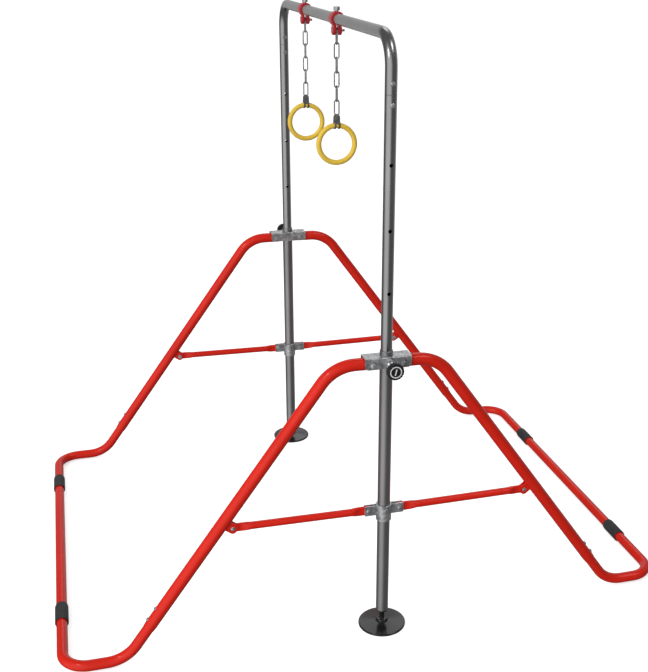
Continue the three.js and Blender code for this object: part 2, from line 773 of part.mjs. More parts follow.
// Strap hanger: a steel strip folded round the ring, necked where it passes through the last link.
function hanger() {
  const ringFold = ringSection + hangerRingPlay;
  const topFold = linkWire + hangerTopPlay;
  const fold = (grow) => [
    ...arc(0, hangerTopRise, topFold + grow, 0, 180, linkArcSteps),
    ...arc(0, -hangerDrop, ringFold + grow, 180, 360, 2 * linkArcSteps),
  ];
  const outer = plate(fold(hangerWall), alongY, -hangerWidth / 2, hangerWidth);
  const inner = plate(fold(0), alongY, -hangerWidth, 2 * hangerWidth);
  const shoulder = (hangerWidth - hangerNeckWidth) / 2;
  const tall = hangerDrop / 2;
  const shoulders = [-1, 1].map((side) => block(point(hangerWidth, shoulder, tall),
    point(0, (side * (hangerNeckWidth + shoulder)) / 2, tall / 2)));
  const slot = block(point(4 * ringFold, hangerSlot, hangerSlotHeight),
    point(0, 0, -hangerDrop - ringFold - hangerWall + hangerSlotHeight / 2));
  return cut(outer, inner, ...shoulders, slot);
}

function ring() {
  const geometry = new THREE.TorusGeometry(ringRadius, ringSection, ringSides, ringSteps);
  geometry.rotateY(Math.PI / 2);
  geometry.translate(0, 0, -ringRadius);
  return solidOf(geometry);
}

const posts = [['right', rightSide, 1], ['left', leftSide, -1]];
const sides = [['front', -1], ['back', 1]];

for (const [name, group, out] of posts) {
  group.add(
    namedMesh(`${name}_post`, post(out), darkSteel),
    namedMesh(`${name}_foot`, foot(), blackPlastic),
    namedMesh(`${name}_bracket`, bracket(out), zinc),
    namedMesh(`${name}_pin_housing`, pinHousing(out), zinc),
    namedMesh(`${name}_lock_knob`, lockKnob(out), blackPlastic),
    namedMesh(`${name}_extension`, extension(out), steel),
    namedMesh(`${name}_upper_joint_bolt`, jointBolt(out, jointBoltHeights[0]), zinc),
    namedMesh(`${name}_lower_joint_bolt`, jointBolt(out, jointBoltHeights[1]), zinc),
    namedMesh(`${name}_collar`, collar(out), zinc),
  );
  for (const [sideName, side] of sides) {
    group.add(
      namedMesh(`${name}_${sideName}_leg`, leg(out, side), redPaint),
      namedMesh(`${name}_${sideName}_brace`, brace(side), redPaint),
      namedMesh(`${name}_${sideName}_pivot_bolt`, pivotBolt(out, side), zinc),
    );
  }
}

frame.add(namedMesh('top_bar', topBar(), steel));

for (const [sideName, side] of sides) {
  frame.add(namedMesh(`${sideName}_floor_bar`, floorBar(side), redPaint));
  const places = side < 0 ? frontSleevePlaces : backSleevePlaces;
  places.forEach((x, i) => {
    frame.add(namedMesh(`${sideName}_${i === 0 ? 'right' : 'left'}_sleeve`, sleeve(side, x), rubber));
  });
}

clampPlaces.forEach((x, i) => {
  const name = i === 0 ? 'right' : 'left';
  const clamp = new THREE.Group();
  clamp.position.set(x, 0, railHeight);
  frame.add(clamp);
  clamp.add(
    namedMesh(`${name}_ring_clamp`, ringClamp(), redPaint),
    namedMesh(`${name}_clamp_screw`, clampScrew(), zinc),
    namedMesh(`${name}_clamp_bolt`, clampBolt(), zinc),
  );
  const firstLink = -clampBoltDrop + clampBoltRadius + linkWire + linkTouch - wireDrop;
  for (let k = 0; k < linkCount; k += 1) {
    const link = namedMesh(`${name}_link_${k + 1}`, chainLink(), darkSteel);
    link.position.z = firstLink - k * linkPitch;
    link.rotation.z = (k % 2) * (Math.PI / 2);
    clamp.add(link);
  }
  const lastWire = firstLink - (linkCount - 1) * linkPitch - wireDrop;
  const strap = namedMesh(`${name}_hanger`, hanger(), darkSteel);
  const hoop = namedMesh(`${name}_ring`, ring(), yellowPlastic);
  strap.position.z = lastWire;
  hoop.position.z = lastWire - hangerDrop;
  clamp.add(strap, hoop);
});

export default frame;
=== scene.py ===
# %% [markdown]
# A child's gymnastic frame: two posts joined by a top bar, red folding legs that end in floor
# bars, and two yellow rings on chains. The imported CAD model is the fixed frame. Every visible
# part is made again here as a smooth surface in the same place, with its own finish.
# All sizes are in metres. X runs along the top bar, Y from the front legs to the back, Z up.

# %% Load the frame
import math
import bpy
import numpy as np
from mathutils import Matrix, Vector


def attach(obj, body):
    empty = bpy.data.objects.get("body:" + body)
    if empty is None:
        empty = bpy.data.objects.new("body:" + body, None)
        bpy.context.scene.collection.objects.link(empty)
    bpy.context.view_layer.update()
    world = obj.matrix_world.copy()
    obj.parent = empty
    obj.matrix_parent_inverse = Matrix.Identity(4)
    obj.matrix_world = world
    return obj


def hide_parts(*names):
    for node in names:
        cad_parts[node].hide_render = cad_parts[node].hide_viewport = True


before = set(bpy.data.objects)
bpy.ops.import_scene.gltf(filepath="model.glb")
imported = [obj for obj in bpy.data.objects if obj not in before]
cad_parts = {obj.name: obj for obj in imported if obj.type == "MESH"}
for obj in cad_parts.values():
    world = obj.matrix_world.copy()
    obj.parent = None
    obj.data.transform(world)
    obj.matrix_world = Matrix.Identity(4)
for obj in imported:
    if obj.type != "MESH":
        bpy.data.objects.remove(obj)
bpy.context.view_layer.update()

# %% [markdown]
# The sizes come first, as a maker would list them. Nearly all are the same as in the CAD model,
# so each surface lies on the solid that it stands for. Only small things were set a little after
# the photograph, such as the body of the collar and the discs of the knob and the foot.

# %% Sizes of the frame
MM = 0.001
POST_X = 588 * MM
POST_R, POST_BORE = 16 * MM, 14.5 * MM
POST_LOW, POST_HIGH = 46 * MM, 779 * MM
RAIL_R, RAIL_BORE = 14 * MM, 12.5 * MM
RAIL_Z, RAIL_BEND = 1500 * MM, 70 * MM
SEAM_Z, SPIGOT_Z, SPIGOT_R = 1376 * MM, 1330 * MM, 12.2 * MM
EXTENSION_LOW = 620 * MM
LOCK_Z, PIVOT_Z, PIVOT_Y = 752.6 * MM, 748 * MM, 38 * MM
HOLES_Z = [LOCK_Z, 922.6 * MM, 1072.6 * MM, 1222.6 * MM]
JOINT_BOLTS_Z = {"upper": 1398.7 * MM, "lower": 1353 * MM}
LEG_R, LEG_BORE, LEG_BEND = 15.5 * MM, 14.2 * MM, 100 * MM
LEG_CORNER, LEG_LENGTH = 129.5 * MM, 803 * MM
SLOPE = math.radians(36)
BASE_R, BASE_BORE, BASE_Z, BASE_Y = 13.9 * MM, 12.5 * MM, 17 * MM, 812 * MM
BASE_BEND, BASE_CORNER = 90 * MM, 65 * MM
EAR_Y, EAR_Z, LUG_Y, LUG_Z, COLLAR_Z = 41 * MM, 347 * MM, 384.05 * MM, 350 * MM, 350 * MM
CLAMP_X = {"right": 102 * MM, "left": -272 * MM}
SLEEVE_X = {("front", "right"): 353 * MM, ("front", "left"): -389 * MM,
            ("back", "right"): 347 * MM, ("back", "left"): -329 * MM}
SIDES = {"right": 1, "left": -1}
FACES = {"front": -1, "back": 1}

# %% [markdown]
# The camera stands at the photograph's place. Its place and turn were worked out from the
# posts, the top bar, the holes and the corners of the floor bars. The picture is taken as
# 648 by 672 pixels, so the sensor's 36 mm lie along the taller side.

# %% Camera
PICTURE = (648, 672)
camera_data = bpy.data.cameras.new("camera")
camera = bpy.data.objects.new("camera", camera_data)
bpy.context.collection.objects.link(camera)
camera_place = Vector((2.82076, -0.67936, 1.68602))
yaw, pitch, roll, focal, centre_u, centre_v = -0.30062, 0.378, 0.01941, 1048.48, 391.39, 357.57
ahead = Vector((-math.cos(yaw) * math.cos(pitch), -math.sin(yaw) * math.cos(pitch), -math.sin(pitch)))
right = ahead.cross(Vector((0, 0, 1))).normalized()
upward = right.cross(ahead)
tilted_right = math.cos(roll) * right + math.sin(roll) * upward
tilted_up = -math.sin(roll) * right + math.cos(roll) * upward
turn = Matrix((tilted_right, tilted_up, -ahead)).transposed()
camera.matrix_world = Matrix.Translation(camera_place) @ turn.to_4x4()
camera_data.sensor_width = 36
camera_data.lens = focal * 36 / PICTURE[1]
camera_data.shift_x = (PICTURE[0] / 2 - centre_u) / PICTURE[1]
camera_data.shift_y = (centre_v - PICTURE[1] / 2) / PICTURE[1]
camera_data.clip_end = 200
bpy.context.scene.camera = camera
print("lens", round(camera_data.lens, 2), "mm")

# %% [markdown]
# A surface is a grid of points: rows follow each other along the piece, and the points of one
# row go round it. Neighbouring rows are joined by four-sided faces, all at once with numpy.
# Every face also gets its place on the surface in metres as a UV map, so a drawn or brushed
# pattern can run along a bent tube.

# %% Grids, skins and pieces
def unit(vectors):
    """Each vector divided by its own length."""
    vectors = np.asarray(vectors, float)
    return vectors / np.linalg.norm(vectors, axis=-1, keepdims=True)


def loft(rows, ring=False):
    """Skin over rows of points (rows, columns, 3).

    Face (i, j) joins points (i, j), (i, j+1), (i+1, j+1), (i+1, j), and the last column
    meets the first. With ring=True the last row meets the first too, else both ends get a cap.
    """
    rows = np.asarray(rows, float)
    n, m = rows.shape[:2]
    i, j = np.meshgrid(np.arange(n if ring else n - 1), np.arange(m), indexing="ij")
    i, j = i.ravel(), j.ravel()
    i_next, j_next = (i + 1) % n, (j + 1) % m
    quads = np.stack([i * m + j, i * m + j_next, i_next * m + j_next, i_next * m + j], 1)
    steps = np.linalg.norm(np.roll(rows, -1, 0) - rows, axis=2).mean(1)
    along = np.concatenate([[0], np.cumsum(steps)])
    edges = np.linalg.norm(np.roll(rows, -1, 1) - rows, axis=2).mean(0)
    around = np.concatenate([[0], np.cumsum(edges)])
    square = ((0, 0), (0, 1), (1, 1), (1, 0))
    uv = np.stack([np.stack([along[i + a], around[j + b]], 1) for a, b in square], 1)
    caps = [] if ring else [np.arange(m)[::-1], (n - 1) * m + np.arange(m)]
    points = rows.reshape(-1, 3)
    corner = points[quads]
    volume = sum(np.einsum("ij,ij->i", corner[:, 0], np.cross(corner[:, k], corner[:, k + 1])).sum()
                 for k in (1, 2))
    for cap in caps:
        fan = points[cap]
        volume += np.einsum("ij,ij->", np.broadcast_to(fan[0], (m - 2, 3)), np.cross(fan[1:-1], fan[2:]))
    if volume < 0:
        quads, uv = quads[:, ::-1], uv[:, ::-1]
        caps = [cap[::-1] for cap in caps]
    return points, quads, uv, caps


def joined(skins):
    """Points, four-sided faces and end caps of several skins, numbered as one."""
    points = np.concatenate([skin[0] for skin in skins])
    starts = np.cumsum([0] + [len(skin[0]) for skin in skins])
    quads = np.concatenate([skin[1] + start for skin, start in zip(skins, starts)])
    return points, quads, [cap + start for skin, start in zip(skins, starts) for cap in skin[3]]


def placed(name, data):
    """A new object of some data, in the scene."""
    new = bpy.data.objects.new(name, data)
    bpy.context.collection.objects.link(new)
    return new


def make(name, skins, material, body, nodes=()):
    """One finished piece of one or more skins, with its place in its mesh."""
    points, quads, caps = joined(skins)
    loops = np.concatenate([quads.ravel()] + caps).astype(np.int32)
    totals = np.concatenate([np.full(len(quads), 4), [len(cap) for cap in caps]]).astype(np.int32)
    mesh = bpy.data.meshes.new(name)
    mesh.vertices.add(len(points))
    mesh.vertices.foreach_set("co", points.astype(np.float32).ravel())
    mesh.loops.add(len(loops))
    mesh.loops.foreach_set("vertex_index", loops)
    mesh.polygons.add(len(totals))
    mesh.polygons.foreach_set("loop_start", (np.cumsum(totals) - totals).astype(np.int32))
    mesh.polygons.foreach_set("loop_total", totals)
    mesh.update(calc_edges=True)
    layer = mesh.uv_layers.new(name="surface")
    flat = [points[cap][:, [0, 1]] + points[cap][:, [2, 2]] * 0.7 for cap in caps]
    places = np.concatenate([skin[2].reshape(-1, 2) for skin in skins] + flat)
    layer.data.foreach_set("uv", places.astype(np.float32).ravel())
    return finish_piece(name, mesh, material, body, nodes)


def finish_piece(name, mesh, material, body, nodes, sharp=32):
    """Object of a mesh: smooth but for sharp edges, with its material, body and CAD nodes."""
    mesh.polygons.foreach_set("use_smooth", np.ones(len(mesh.polygons), bool))
    mesh.set_sharp_from_angle(angle=math.radians(sharp))
    mesh.materials.clear()
    mesh.materials.append(material)
    piece = placed(name, mesh)
    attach(piece, body)
    if nodes:
        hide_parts(*nodes)
    return piece


def moved(skin, place):
    """A skin shifted by a place."""
    return (skin[0] + place, *skin[1:])


def drilled(skins, cutters):
    """Skins with other closed skins cut out of them, through Blender's exact boolean."""
    first = plain_object("blank", skins)
    second = plain_object("cutters", cutters)
    cut = first.modifiers.new("cut", "BOOLEAN")
    cut.object, cut.operation, cut.solver = second, "DIFFERENCE", "EXACT"
    cut.use_self = True
    shape = bpy.data.meshes.new_from_object(first.evaluated_get(bpy.context.evaluated_depsgraph_get()))
    for scrap in (first, second):
        bpy.data.objects.remove(scrap)
    return shape


def plain_object(name, skins):
    """An object of skins with no finish, for cutting."""
    mesh = bpy.data.meshes.new(name)
    points, quads, caps = joined(skins)
    mesh.from_pydata(points.tolist(), [], quads.tolist() + [cap.tolist() for cap in caps])
    mesh.uv_layers.new(name="surface")
    return placed(name, mesh)


print("grid helpers ready")

# %% [markdown]
# A bent tube is straight runs joined by true arcs. Each corner of the route is replaced by an
# arc that leaves both straights without a kink. The tube is a circle carried along the route.
# A fixed helper direction that is never parallel to the route gives each circle its two axes.

# %% Routes and tubes
def route(corners, bends, steps=12):
    """Points and directions of a polyline whose inner corners are arcs.

    For a corner between directions a and b, with angle t between them and radius R, the arc
    starts R tan(t/2) before it; point(s) = centre - R cos(s) n + R sin(s) a.
    """
    corners = np.asarray(corners, float)
    points, heads = [corners[:1]], [unit(corners[1:2] - corners[:1])]
    bends = np.broadcast_to(bends, len(corners) - 2)
    for k, radius in enumerate(bends, start=1):
        a = unit(corners[k] - corners[k - 1])
        b = unit(corners[k + 1] - corners[k])
        angle = math.acos(float(np.clip(a @ b, -1, 1)))
        n = unit(b - (a @ b) * a)
        start = corners[k] - radius * math.tan(angle / 2) * a
        s = np.linspace(0, angle, steps + 1)[:, None]
        points.append(start + radius * (1 - np.cos(s)) * n + radius * np.sin(s) * a)
        heads.append(np.cos(s) * a + np.sin(s) * n)
    points.append(corners[-1:])
    heads.append(unit(corners[-1:] - corners[-2:-1]))
    return np.concatenate(points), unit(np.concatenate(heads))


def circles(points, heads, radii, helper, sides):
    """Circle(i, a) = point i + r_i (cos a side_i + sin a top_i), with side = helper x head."""
    side = unit(np.cross(helper, heads))
    top = np.cross(heads, side)
    angle = np.linspace(0, 2 * np.pi, sides, endpoint=False)
    radii = np.broadcast_to(radii, len(points))[:, None, None]
    spokes = np.cos(angle)[None, :, None] * side[:, None] + np.sin(angle)[None, :, None] * top[:, None]
    return points[:, None] + radii * spokes


def tube(corners, bends, radius, helper, bore=None, sides=32, edge=0.4 * MM, neck=None):
    """A tube along a route, with its end edges broken. With a bore its wall turns back inside.

    neck = (length, radius): over that length the far end is drawn down to that radius.
    """
    points, heads = route(corners, bends)
    points = np.concatenate([points[:1], points[:1] + heads[:1] * edge, points[1:-1],
                             points[-1:] - heads[-1:] * edge, points[-1:]])
    heads = np.concatenate([heads[:1], heads, heads[-1:]])
    radii = np.full(len(points), radius)
    radii[[0, -1]] -= edge
    if neck:
        radii[-2:] += neck[1] - radius
        points, heads, radii = (np.insert(values, len(values) - 2, value, 0) for values, value in (
            (points, points[-1] - heads[-1] * neck[0]), (heads, heads[-1]), (radii, radius)))
    outer = circles(points, heads, radii, helper, sides)
    if bore is None:
        return loft(outer)
    inner = circles(points[::-1], heads[::-1], bore, helper, sides)
    turned_back = np.concatenate([inner[:1], inner[2:-2], inner[-1:]])
    return loft(np.concatenate([outer, turned_back]), ring=True)


def axes_of(direction):
    """Two unit directions square to a direction."""
    direction = unit(direction)
    helper = np.array([0.0, 0.0, 1.0]) if abs(direction[2]) < 0.9 else np.array([1.0, 0.0, 0.0])
    side = unit(np.cross(helper, direction))
    return side, np.cross(direction, side)


def softened(profile, radius):
    """A profile of (radius, height) pairs with each inner corner rounded."""
    profile = np.asarray(profile, float)
    flat = np.stack([profile[:, 0], np.zeros(len(profile)), profile[:, 1]], 1)
    lengths = np.linalg.norm(np.diff(flat, axis=0), axis=1)
    a, b = unit(np.diff(flat, axis=0)[:-1]), unit(np.diff(flat, axis=0)[1:])
    half = np.arccos(np.clip((a * b).sum(1), -1, 1)) / 2
    room = np.minimum(lengths[:-1], lengths[1:]) * 0.45
    bends = np.minimum(radius, room / np.maximum(np.tan(half), 1e-6))
    points, _ = route(flat, bends, steps=4)
    return points[:, [0, 2]]


def turned(profile, origin, direction, sides=48, ring=False, wave=None):
    """A lathe form: point(i, a) = origin + h_i direction + r_i w(a) (cos a side + sin a top)."""
    profile = np.asarray(profile, float)
    side, top = axes_of(direction)
    angle = np.linspace(0, 2 * np.pi, sides, endpoint=False)
    spoke = np.cos(angle)[:, None] * side + np.sin(angle)[:, None] * top
    radius = profile[:, :1] * np.ones(sides) if wave is None else wave(profile, angle)
    height = profile[:, 1][:, None, None] * unit(direction)
    return loft(np.asarray(origin, float) + height + radius[:, :, None] * spoke, ring)


def rod(start, end, radius, sides=32, edge=0.3 * MM):
    """A solid round bar between two points with broken edges."""
    start, end = np.asarray(start, float), np.asarray(end, float)
    length = float(np.linalg.norm(end - start))
    profile = [(radius - edge, 0), (radius, edge), (radius, length - edge), (radius - edge, length)]
    return turned(profile, start, end - start, sides)


print("tube helpers ready")

# %% [markdown]
# Flat parts are outlines with a thickness. A strap is a flat strip carried along a route, and its
# width may change on the way, as on the ring hangers. Bolts are turned forms with a round shank.

# %% Plates, straps and fasteners
def outline_of(corners, radius, steps=6):
    """A closed outline of 2D corners with every corner rounded."""
    corners = np.asarray(corners, float)
    start = (corners[0] + corners[-1]) / 2
    closed = np.concatenate([start[None], corners, start[None]])
    flat = np.stack([closed[:, 0], closed[:, 1], np.zeros(len(closed))], 1)
    return route(flat, radius, steps)[0][:-1, :2]


def plate(outline, low, high, u, v, edge=0.5 * MM):
    """A flat outline in directions u and v, from height low to high along u x v, edges broken."""
    outline = np.asarray(outline, float)
    after, before = np.roll(outline, -1, 0), np.roll(outline, 1, 0)
    run = unit(after - before)
    out = np.stack([run[:, 1], -run[:, 0]], 1)
    area = (outline[:, 0] * after[:, 1] - outline[:, 1] * after[:, 0]).sum()
    inset = outline - (out if area > 0 else -out) * edge
    loops = np.stack([inset, outline, outline, inset])
    heights = np.array([low, low + edge, high - edge, high])
    u, v = np.asarray(u, float), np.asarray(v, float)
    w = np.cross(u, v)
    return loft(loops[..., :1] * u + loops[..., 1:] * v + heights[:, None, None] * w)


def strap(points, heads, across, width, thickness, corner):
    """A closed flat strip along a route: its section is a rectangle with cut corners.

    Section corner = point + x across + y (across x head), with x up to width / 2.
    """
    across = np.asarray(across, float)
    normal = unit(np.cross(across, heads))
    half_w = np.broadcast_to(width, len(points))[:, None] / 2
    half_t = np.broadcast_to(thickness, len(points))[:, None] / 2
    x = np.array([-1, -1, 1, 1, 1, 1, -1, -1])[None]
    y = np.array([1, 1, 1, 1, -1, -1, -1, -1])[None]
    dx = np.array([0, 1, -1, 0, 0, -1, 1, 0])[None] * corner
    dy = np.array([-1, 0, 0, -1, 1, 0, 0, 1])[None] * corner
    px = (x * half_w + dx)[..., None] * across
    py = (y * half_t + dy)[..., None] * normal[:, None]
    return loft(points[:, None] + px + py, ring=True)


def dome_head(face, direction, radius, height):
    """A domed bolt head: a short rim and a quarter-ellipse cap."""
    t = np.linspace(0, 1, 9)[:-1] * np.pi / 2
    rim = height * 0.25
    cap = np.stack([radius * np.cos(t), rim + (height - rim) * np.sin(t)], 1)
    return turned(np.concatenate([[(radius * 0.96, 0)], cap]), face, direction, 36)


def hexagon(profile, angle):
    """Hexagon with turned ends: radius = smaller of flat / cos(angle to flat) and the profile's own."""
    flat = profile[:, 0].max() * math.cos(math.pi / 6)
    sector = (angle + np.pi / 6) % (np.pi / 3) - np.pi / 6
    return np.minimum(flat / np.cos(sector)[None], profile[:, :1])


def nut(face, direction, radius, height, stub, thread):
    """A hexagon nut with turned corners, and its bolt's end, which stands out by a stub."""
    bevel = radius * 0.1
    profile = [(radius - bevel, 0), (radius, bevel * 0.6),
               (radius, height - bevel * 0.6), (radius - bevel, height)]
    body = turned(profile, face, direction, 48, wave=hexagon)
    end = np.asarray(face, float) + unit(direction) * (height + stub)
    return [body, rod(face, end, thread, 24, edge=0.5 * MM)]


def through_bolt(centre, reach, shank, head, nut_size):
    """Head at centre + reach and nut at centre - reach, each (radius, height), on one shank."""
    head_face, nut_face = centre + reach, centre - reach
    outward = unit(reach)
    return [dome_head(head_face, outward, *head), rod(head_face, nut_face, shank, 24),
            *nut(nut_face, -outward, *nut_size, 0.1 * MM, shank)]


print("plate and fastener helpers ready")

# %% [markdown]
# Finishes are built from noise in the object's own coordinates or along its UV map. A few
# shared node steps keep them short: a noise, a ramp between two values, and a bump.

# %% Material helpers
def new_material(name, metallic, roughness, colour, coat=0.0, coat_roughness=0.1, specular=0.5):
    """A principled material whose uniform values sit on the shader's own sockets."""
    material = bpy.data.materials.new(name)
    material.use_nodes = True
    nodes, links = material.node_tree.nodes, material.node_tree.links
    shader = nodes["Principled BSDF"]
    shader.inputs["Metallic"].default_value = metallic
    shader.inputs["Roughness"].default_value = roughness
    shader.inputs["Base Color"].default_value = (*colour, 1)
    shader.inputs["Coat Weight"].default_value = coat
    shader.inputs["Coat Roughness"].default_value = coat_roughness
    shader.inputs["Specular IOR Level"].default_value = specular
    material.diffuse_color = (*colour, 1)
    return material, nodes, links, shader


def noise(nodes, links, source, scale, stretch=(1, 1, 1), detail=3.0):
    """Noise on stretched coordinates: Object for solid patterns, UV for ones along the surface."""
    place = nodes.new("ShaderNodeTexCoord")
    mapping = nodes.new("ShaderNodeMapping")
    mapping.inputs["Scale"].default_value = stretch
    pattern = nodes.new("ShaderNodeTexNoise")
    pattern.inputs["Scale"].default_value = scale
    pattern.inputs["Detail"].default_value = detail
    links.new(place.outputs[source], mapping.inputs["Vector"])
    links.new(mapping.outputs["Vector"], pattern.inputs["Vector"])
    return pattern.outputs["Fac"]


def between(nodes, links, factor, low, high):
    """A value that runs from low to high while the factor runs over the middle of its range."""
    ramp = nodes.new("ShaderNodeMapRange")
    ramp.inputs["From Min"].default_value = 0.3
    ramp.inputs["From Max"].default_value = 0.7
    ramp.inputs["To Min"].default_value = low
    ramp.inputs["To Max"].default_value = high
    links.new(factor, ramp.inputs["Value"])
    return ramp.outputs["Result"]


def tinted(nodes, links, factor, first, second, start=0.3, end=0.7):
    """A colour between two, by a factor."""
    ramp = nodes.new("ShaderNodeValToRGB")
    ramp.color_ramp.elements[0].position, ramp.color_ramp.elements[0].color = start, (*first, 1)
    ramp.color_ramp.elements[1].position, ramp.color_ramp.elements[1].color = end, (*second, 1)
    links.new(factor, ramp.inputs["Fac"])
    return ramp.outputs["Color"]


def bumped(nodes, links, shader, height, strength, distance=0.0002):
    """Fine relief from a height."""
    bump = nodes.new("ShaderNodeBump")
    bump.inputs["Strength"].default_value = strength
    bump.inputs["Distance"].default_value = distance
    links.new(height, bump.inputs["Height"])
    links.new(bump.outputs["Normal"], shader.inputs["Normal"])


# %% [markdown]
# The bar and extension tubes are bright drawn steel with faint lines along the tube. The outer
# posts are the same steel with a duller, darker skin. Brackets and collars are zinc plated,
# which shows cloudy patches. The chain is bright plated wire, and the ring straps are duller.

# %% Metals
def drawn_steel(name, light, dark, low, high):
    """Steel tube: lines along the UV's length, faint smudges, roughness between low and high."""
    material, nodes, links, shader = new_material(name, 1.0, (low + high) / 2, light)
    lines = noise(nodes, links, "UV", 900, (0.02, 1, 1), 4)
    clouds = noise(nodes, links, "Object", 6, detail=2)
    links.new(tinted(nodes, links, clouds, dark, light, 0.35, 0.65), shader.inputs["Base Color"])
    links.new(between(nodes, links, lines, low, high), shader.inputs["Roughness"])
    bumped(nodes, links, shader, lines, 0.02, 0.0001)
    return material


def zinc_plate(name, light, dark, low=0.24, high=0.45, metallic=0.8):
    """Zinc: small cells of slightly different grey under soft clouds, a little chalky."""
    material, nodes, links, shader = new_material(name, metallic, (low + high) / 2, light)
    place = nodes.new("ShaderNodeTexCoord")
    cells = nodes.new("ShaderNodeTexVoronoi")
    cells.inputs["Scale"].default_value = 260
    links.new(place.outputs["Object"], cells.inputs["Vector"])
    clouds = noise(nodes, links, "Object", 60, detail=5)
    mixed = nodes.new("ShaderNodeMath")
    mixed.operation = "MULTIPLY_ADD"
    mixed.inputs[1].default_value = 0.35
    grey = nodes.new("ShaderNodeSeparateColor")
    links.new(cells.outputs["Color"], grey.inputs["Color"])
    links.new(grey.outputs["Red"], mixed.inputs[0])
    links.new(clouds, mixed.inputs[2])
    tone = tinted(nodes, links, mixed.outputs["Value"], dark, light, 0.45, 0.9)
    links.new(tone, shader.inputs["Base Color"])
    links.new(between(nodes, links, clouds, low, high), shader.inputs["Roughness"])
    bumped(nodes, links, shader, clouds, 0.15)
    return material


BRIGHT_STEEL = drawn_steel("bright_steel", (0.53, 0.53, 0.535), (0.48, 0.48, 0.485), 0.20, 0.28)
SATIN_STEEL = drawn_steel("satin_steel", (0.48, 0.48, 0.485), (0.42, 0.42, 0.425), 0.34, 0.44)
ZINC = zinc_plate("zinc_plate", (0.80, 0.81, 0.82), (0.38, 0.39, 0.40))
CHAIN_STEEL = zinc_plate("chain_plate", (0.70, 0.69, 0.68), (0.30, 0.29, 0.29), 0.10, 0.22, 1.0)
STRAP_STEEL = zinc_plate("strap_steel", (0.32, 0.32, 0.33), (0.18, 0.18, 0.19), 0.34, 0.50)

# %% [markdown]
# The red legs are powder coated: a glossy skin with the faint waviness of orange peel. The
# rings are moulded yellow plastic, the floor sleeves dull rubber, feet and knobs black plastic.

# %% Coatings and plastics
def painted(name, light, dark, coat, specular):
    """Red coating: even colour with soft tone changes, thin gloss coat, orange peel relief."""
    material, nodes, links, shader = new_material(name, 0.0, 0.32, light, coat, 0.14, specular)
    tone = noise(nodes, links, "Object", 9, detail=3)
    links.new(tinted(nodes, links, tone, dark, light), shader.inputs["Base Color"])
    peel = noise(nodes, links, "Object", 420, detail=2)
    links.new(between(nodes, links, peel, 0.26, 0.36), shader.inputs["Roughness"])
    bumped(nodes, links, shader, peel, 0.10)
    return material


def moulded(name, first, second, rough, grain, relief, coat=0.0):
    """Moulded plastic or rubber: two near tones, fine grain in roughness and relief."""
    material, nodes, links, shader = new_material(name, 0.0, rough, first, coat, 0.15)
    tone = noise(nodes, links, "Object", 25, detail=4)
    links.new(tinted(nodes, links, tone, second, first), shader.inputs["Base Color"])
    fine = noise(nodes, links, "Object", grain, detail=3)
    links.new(between(nodes, links, fine, rough - 0.05, rough + 0.08), shader.inputs["Roughness"])
    bumped(nodes, links, shader, fine, relief)
    return material


RED = painted("red_powder_coat", (0.82, 0.021, 0.008), (0.73, 0.017, 0.006), 0.40, 0.18)
CAST_RED = painted("red_cast_enamel", (0.60, 0.016, 0.028), (0.50, 0.012, 0.022), 0.35, 0.5)
YELLOW = moulded("yellow_plastic", (0.96, 0.66, 0.070), (0.91, 0.60, 0.058), 0.36, 500, 0.08, 0.1)
RUBBER = moulded("sleeve_rubber", (0.050, 0.051, 0.055), (0.032, 0.033, 0.036), 0.62, 700, 0.35)
BLACK = moulded("black_plastic", (0.014, 0.014, 0.015), (0.008, 0.008, 0.009), 0.30, 600, 0.10)
GLOSS_BLACK = moulded("gloss_black", (0.016, 0.016, 0.017), (0.011, 0.011, 0.012), 0.16, 600, 0.04, 0.3)
MARK = moulded("knob_mark", (0.86, 0.86, 0.84), (0.76, 0.76, 0.74), 0.40, 600, 0.05)
print(len(bpy.data.materials), "materials")

# %% [markdown]
# The top bar is one tube bent at both corners. Below each seam its end is drawn down to a
# spigot, which slips into the extension tube. The extension slides in the outer post and has
# a row of holes for the lock pin.

# %% Top bar, extensions and posts
X, Y, Z = np.eye(3)
CUT_REACH = 30 * MM
LOCK_HOLE_R, PIN_HOLE_R = 4.6 * MM, 4.2 * MM
SMALL_HEAD, SMALL_NUT = (6 * MM, 3.6 * MM), (6 * MM, 3.4 * MM)


def at(x, y, z):
    """A point as an array."""
    return np.array([x, y, z], float)


bar_stops = [at(-POST_X, 0, SEAM_Z), at(-POST_X, 0, RAIL_Z), at(POST_X, 0, RAIL_Z), at(POST_X, 0, SEAM_Z)]
bar_skin = tube(bar_stops, RAIL_BEND, RAIL_R, Y, RAIL_BORE, 40, 0.5 * MM)
spigots = [tube([at(x, 0, SEAM_Z + 3 * MM), at(x, 0, SPIGOT_Z)], 0, SPIGOT_R, Y, SPIGOT_R - 1.5 * MM)
           for x in (-POST_X, POST_X)]
make("top_bar_tube", [bar_skin, *spigots], BRIGHT_STEEL, "top_frame", ["top_bar"])

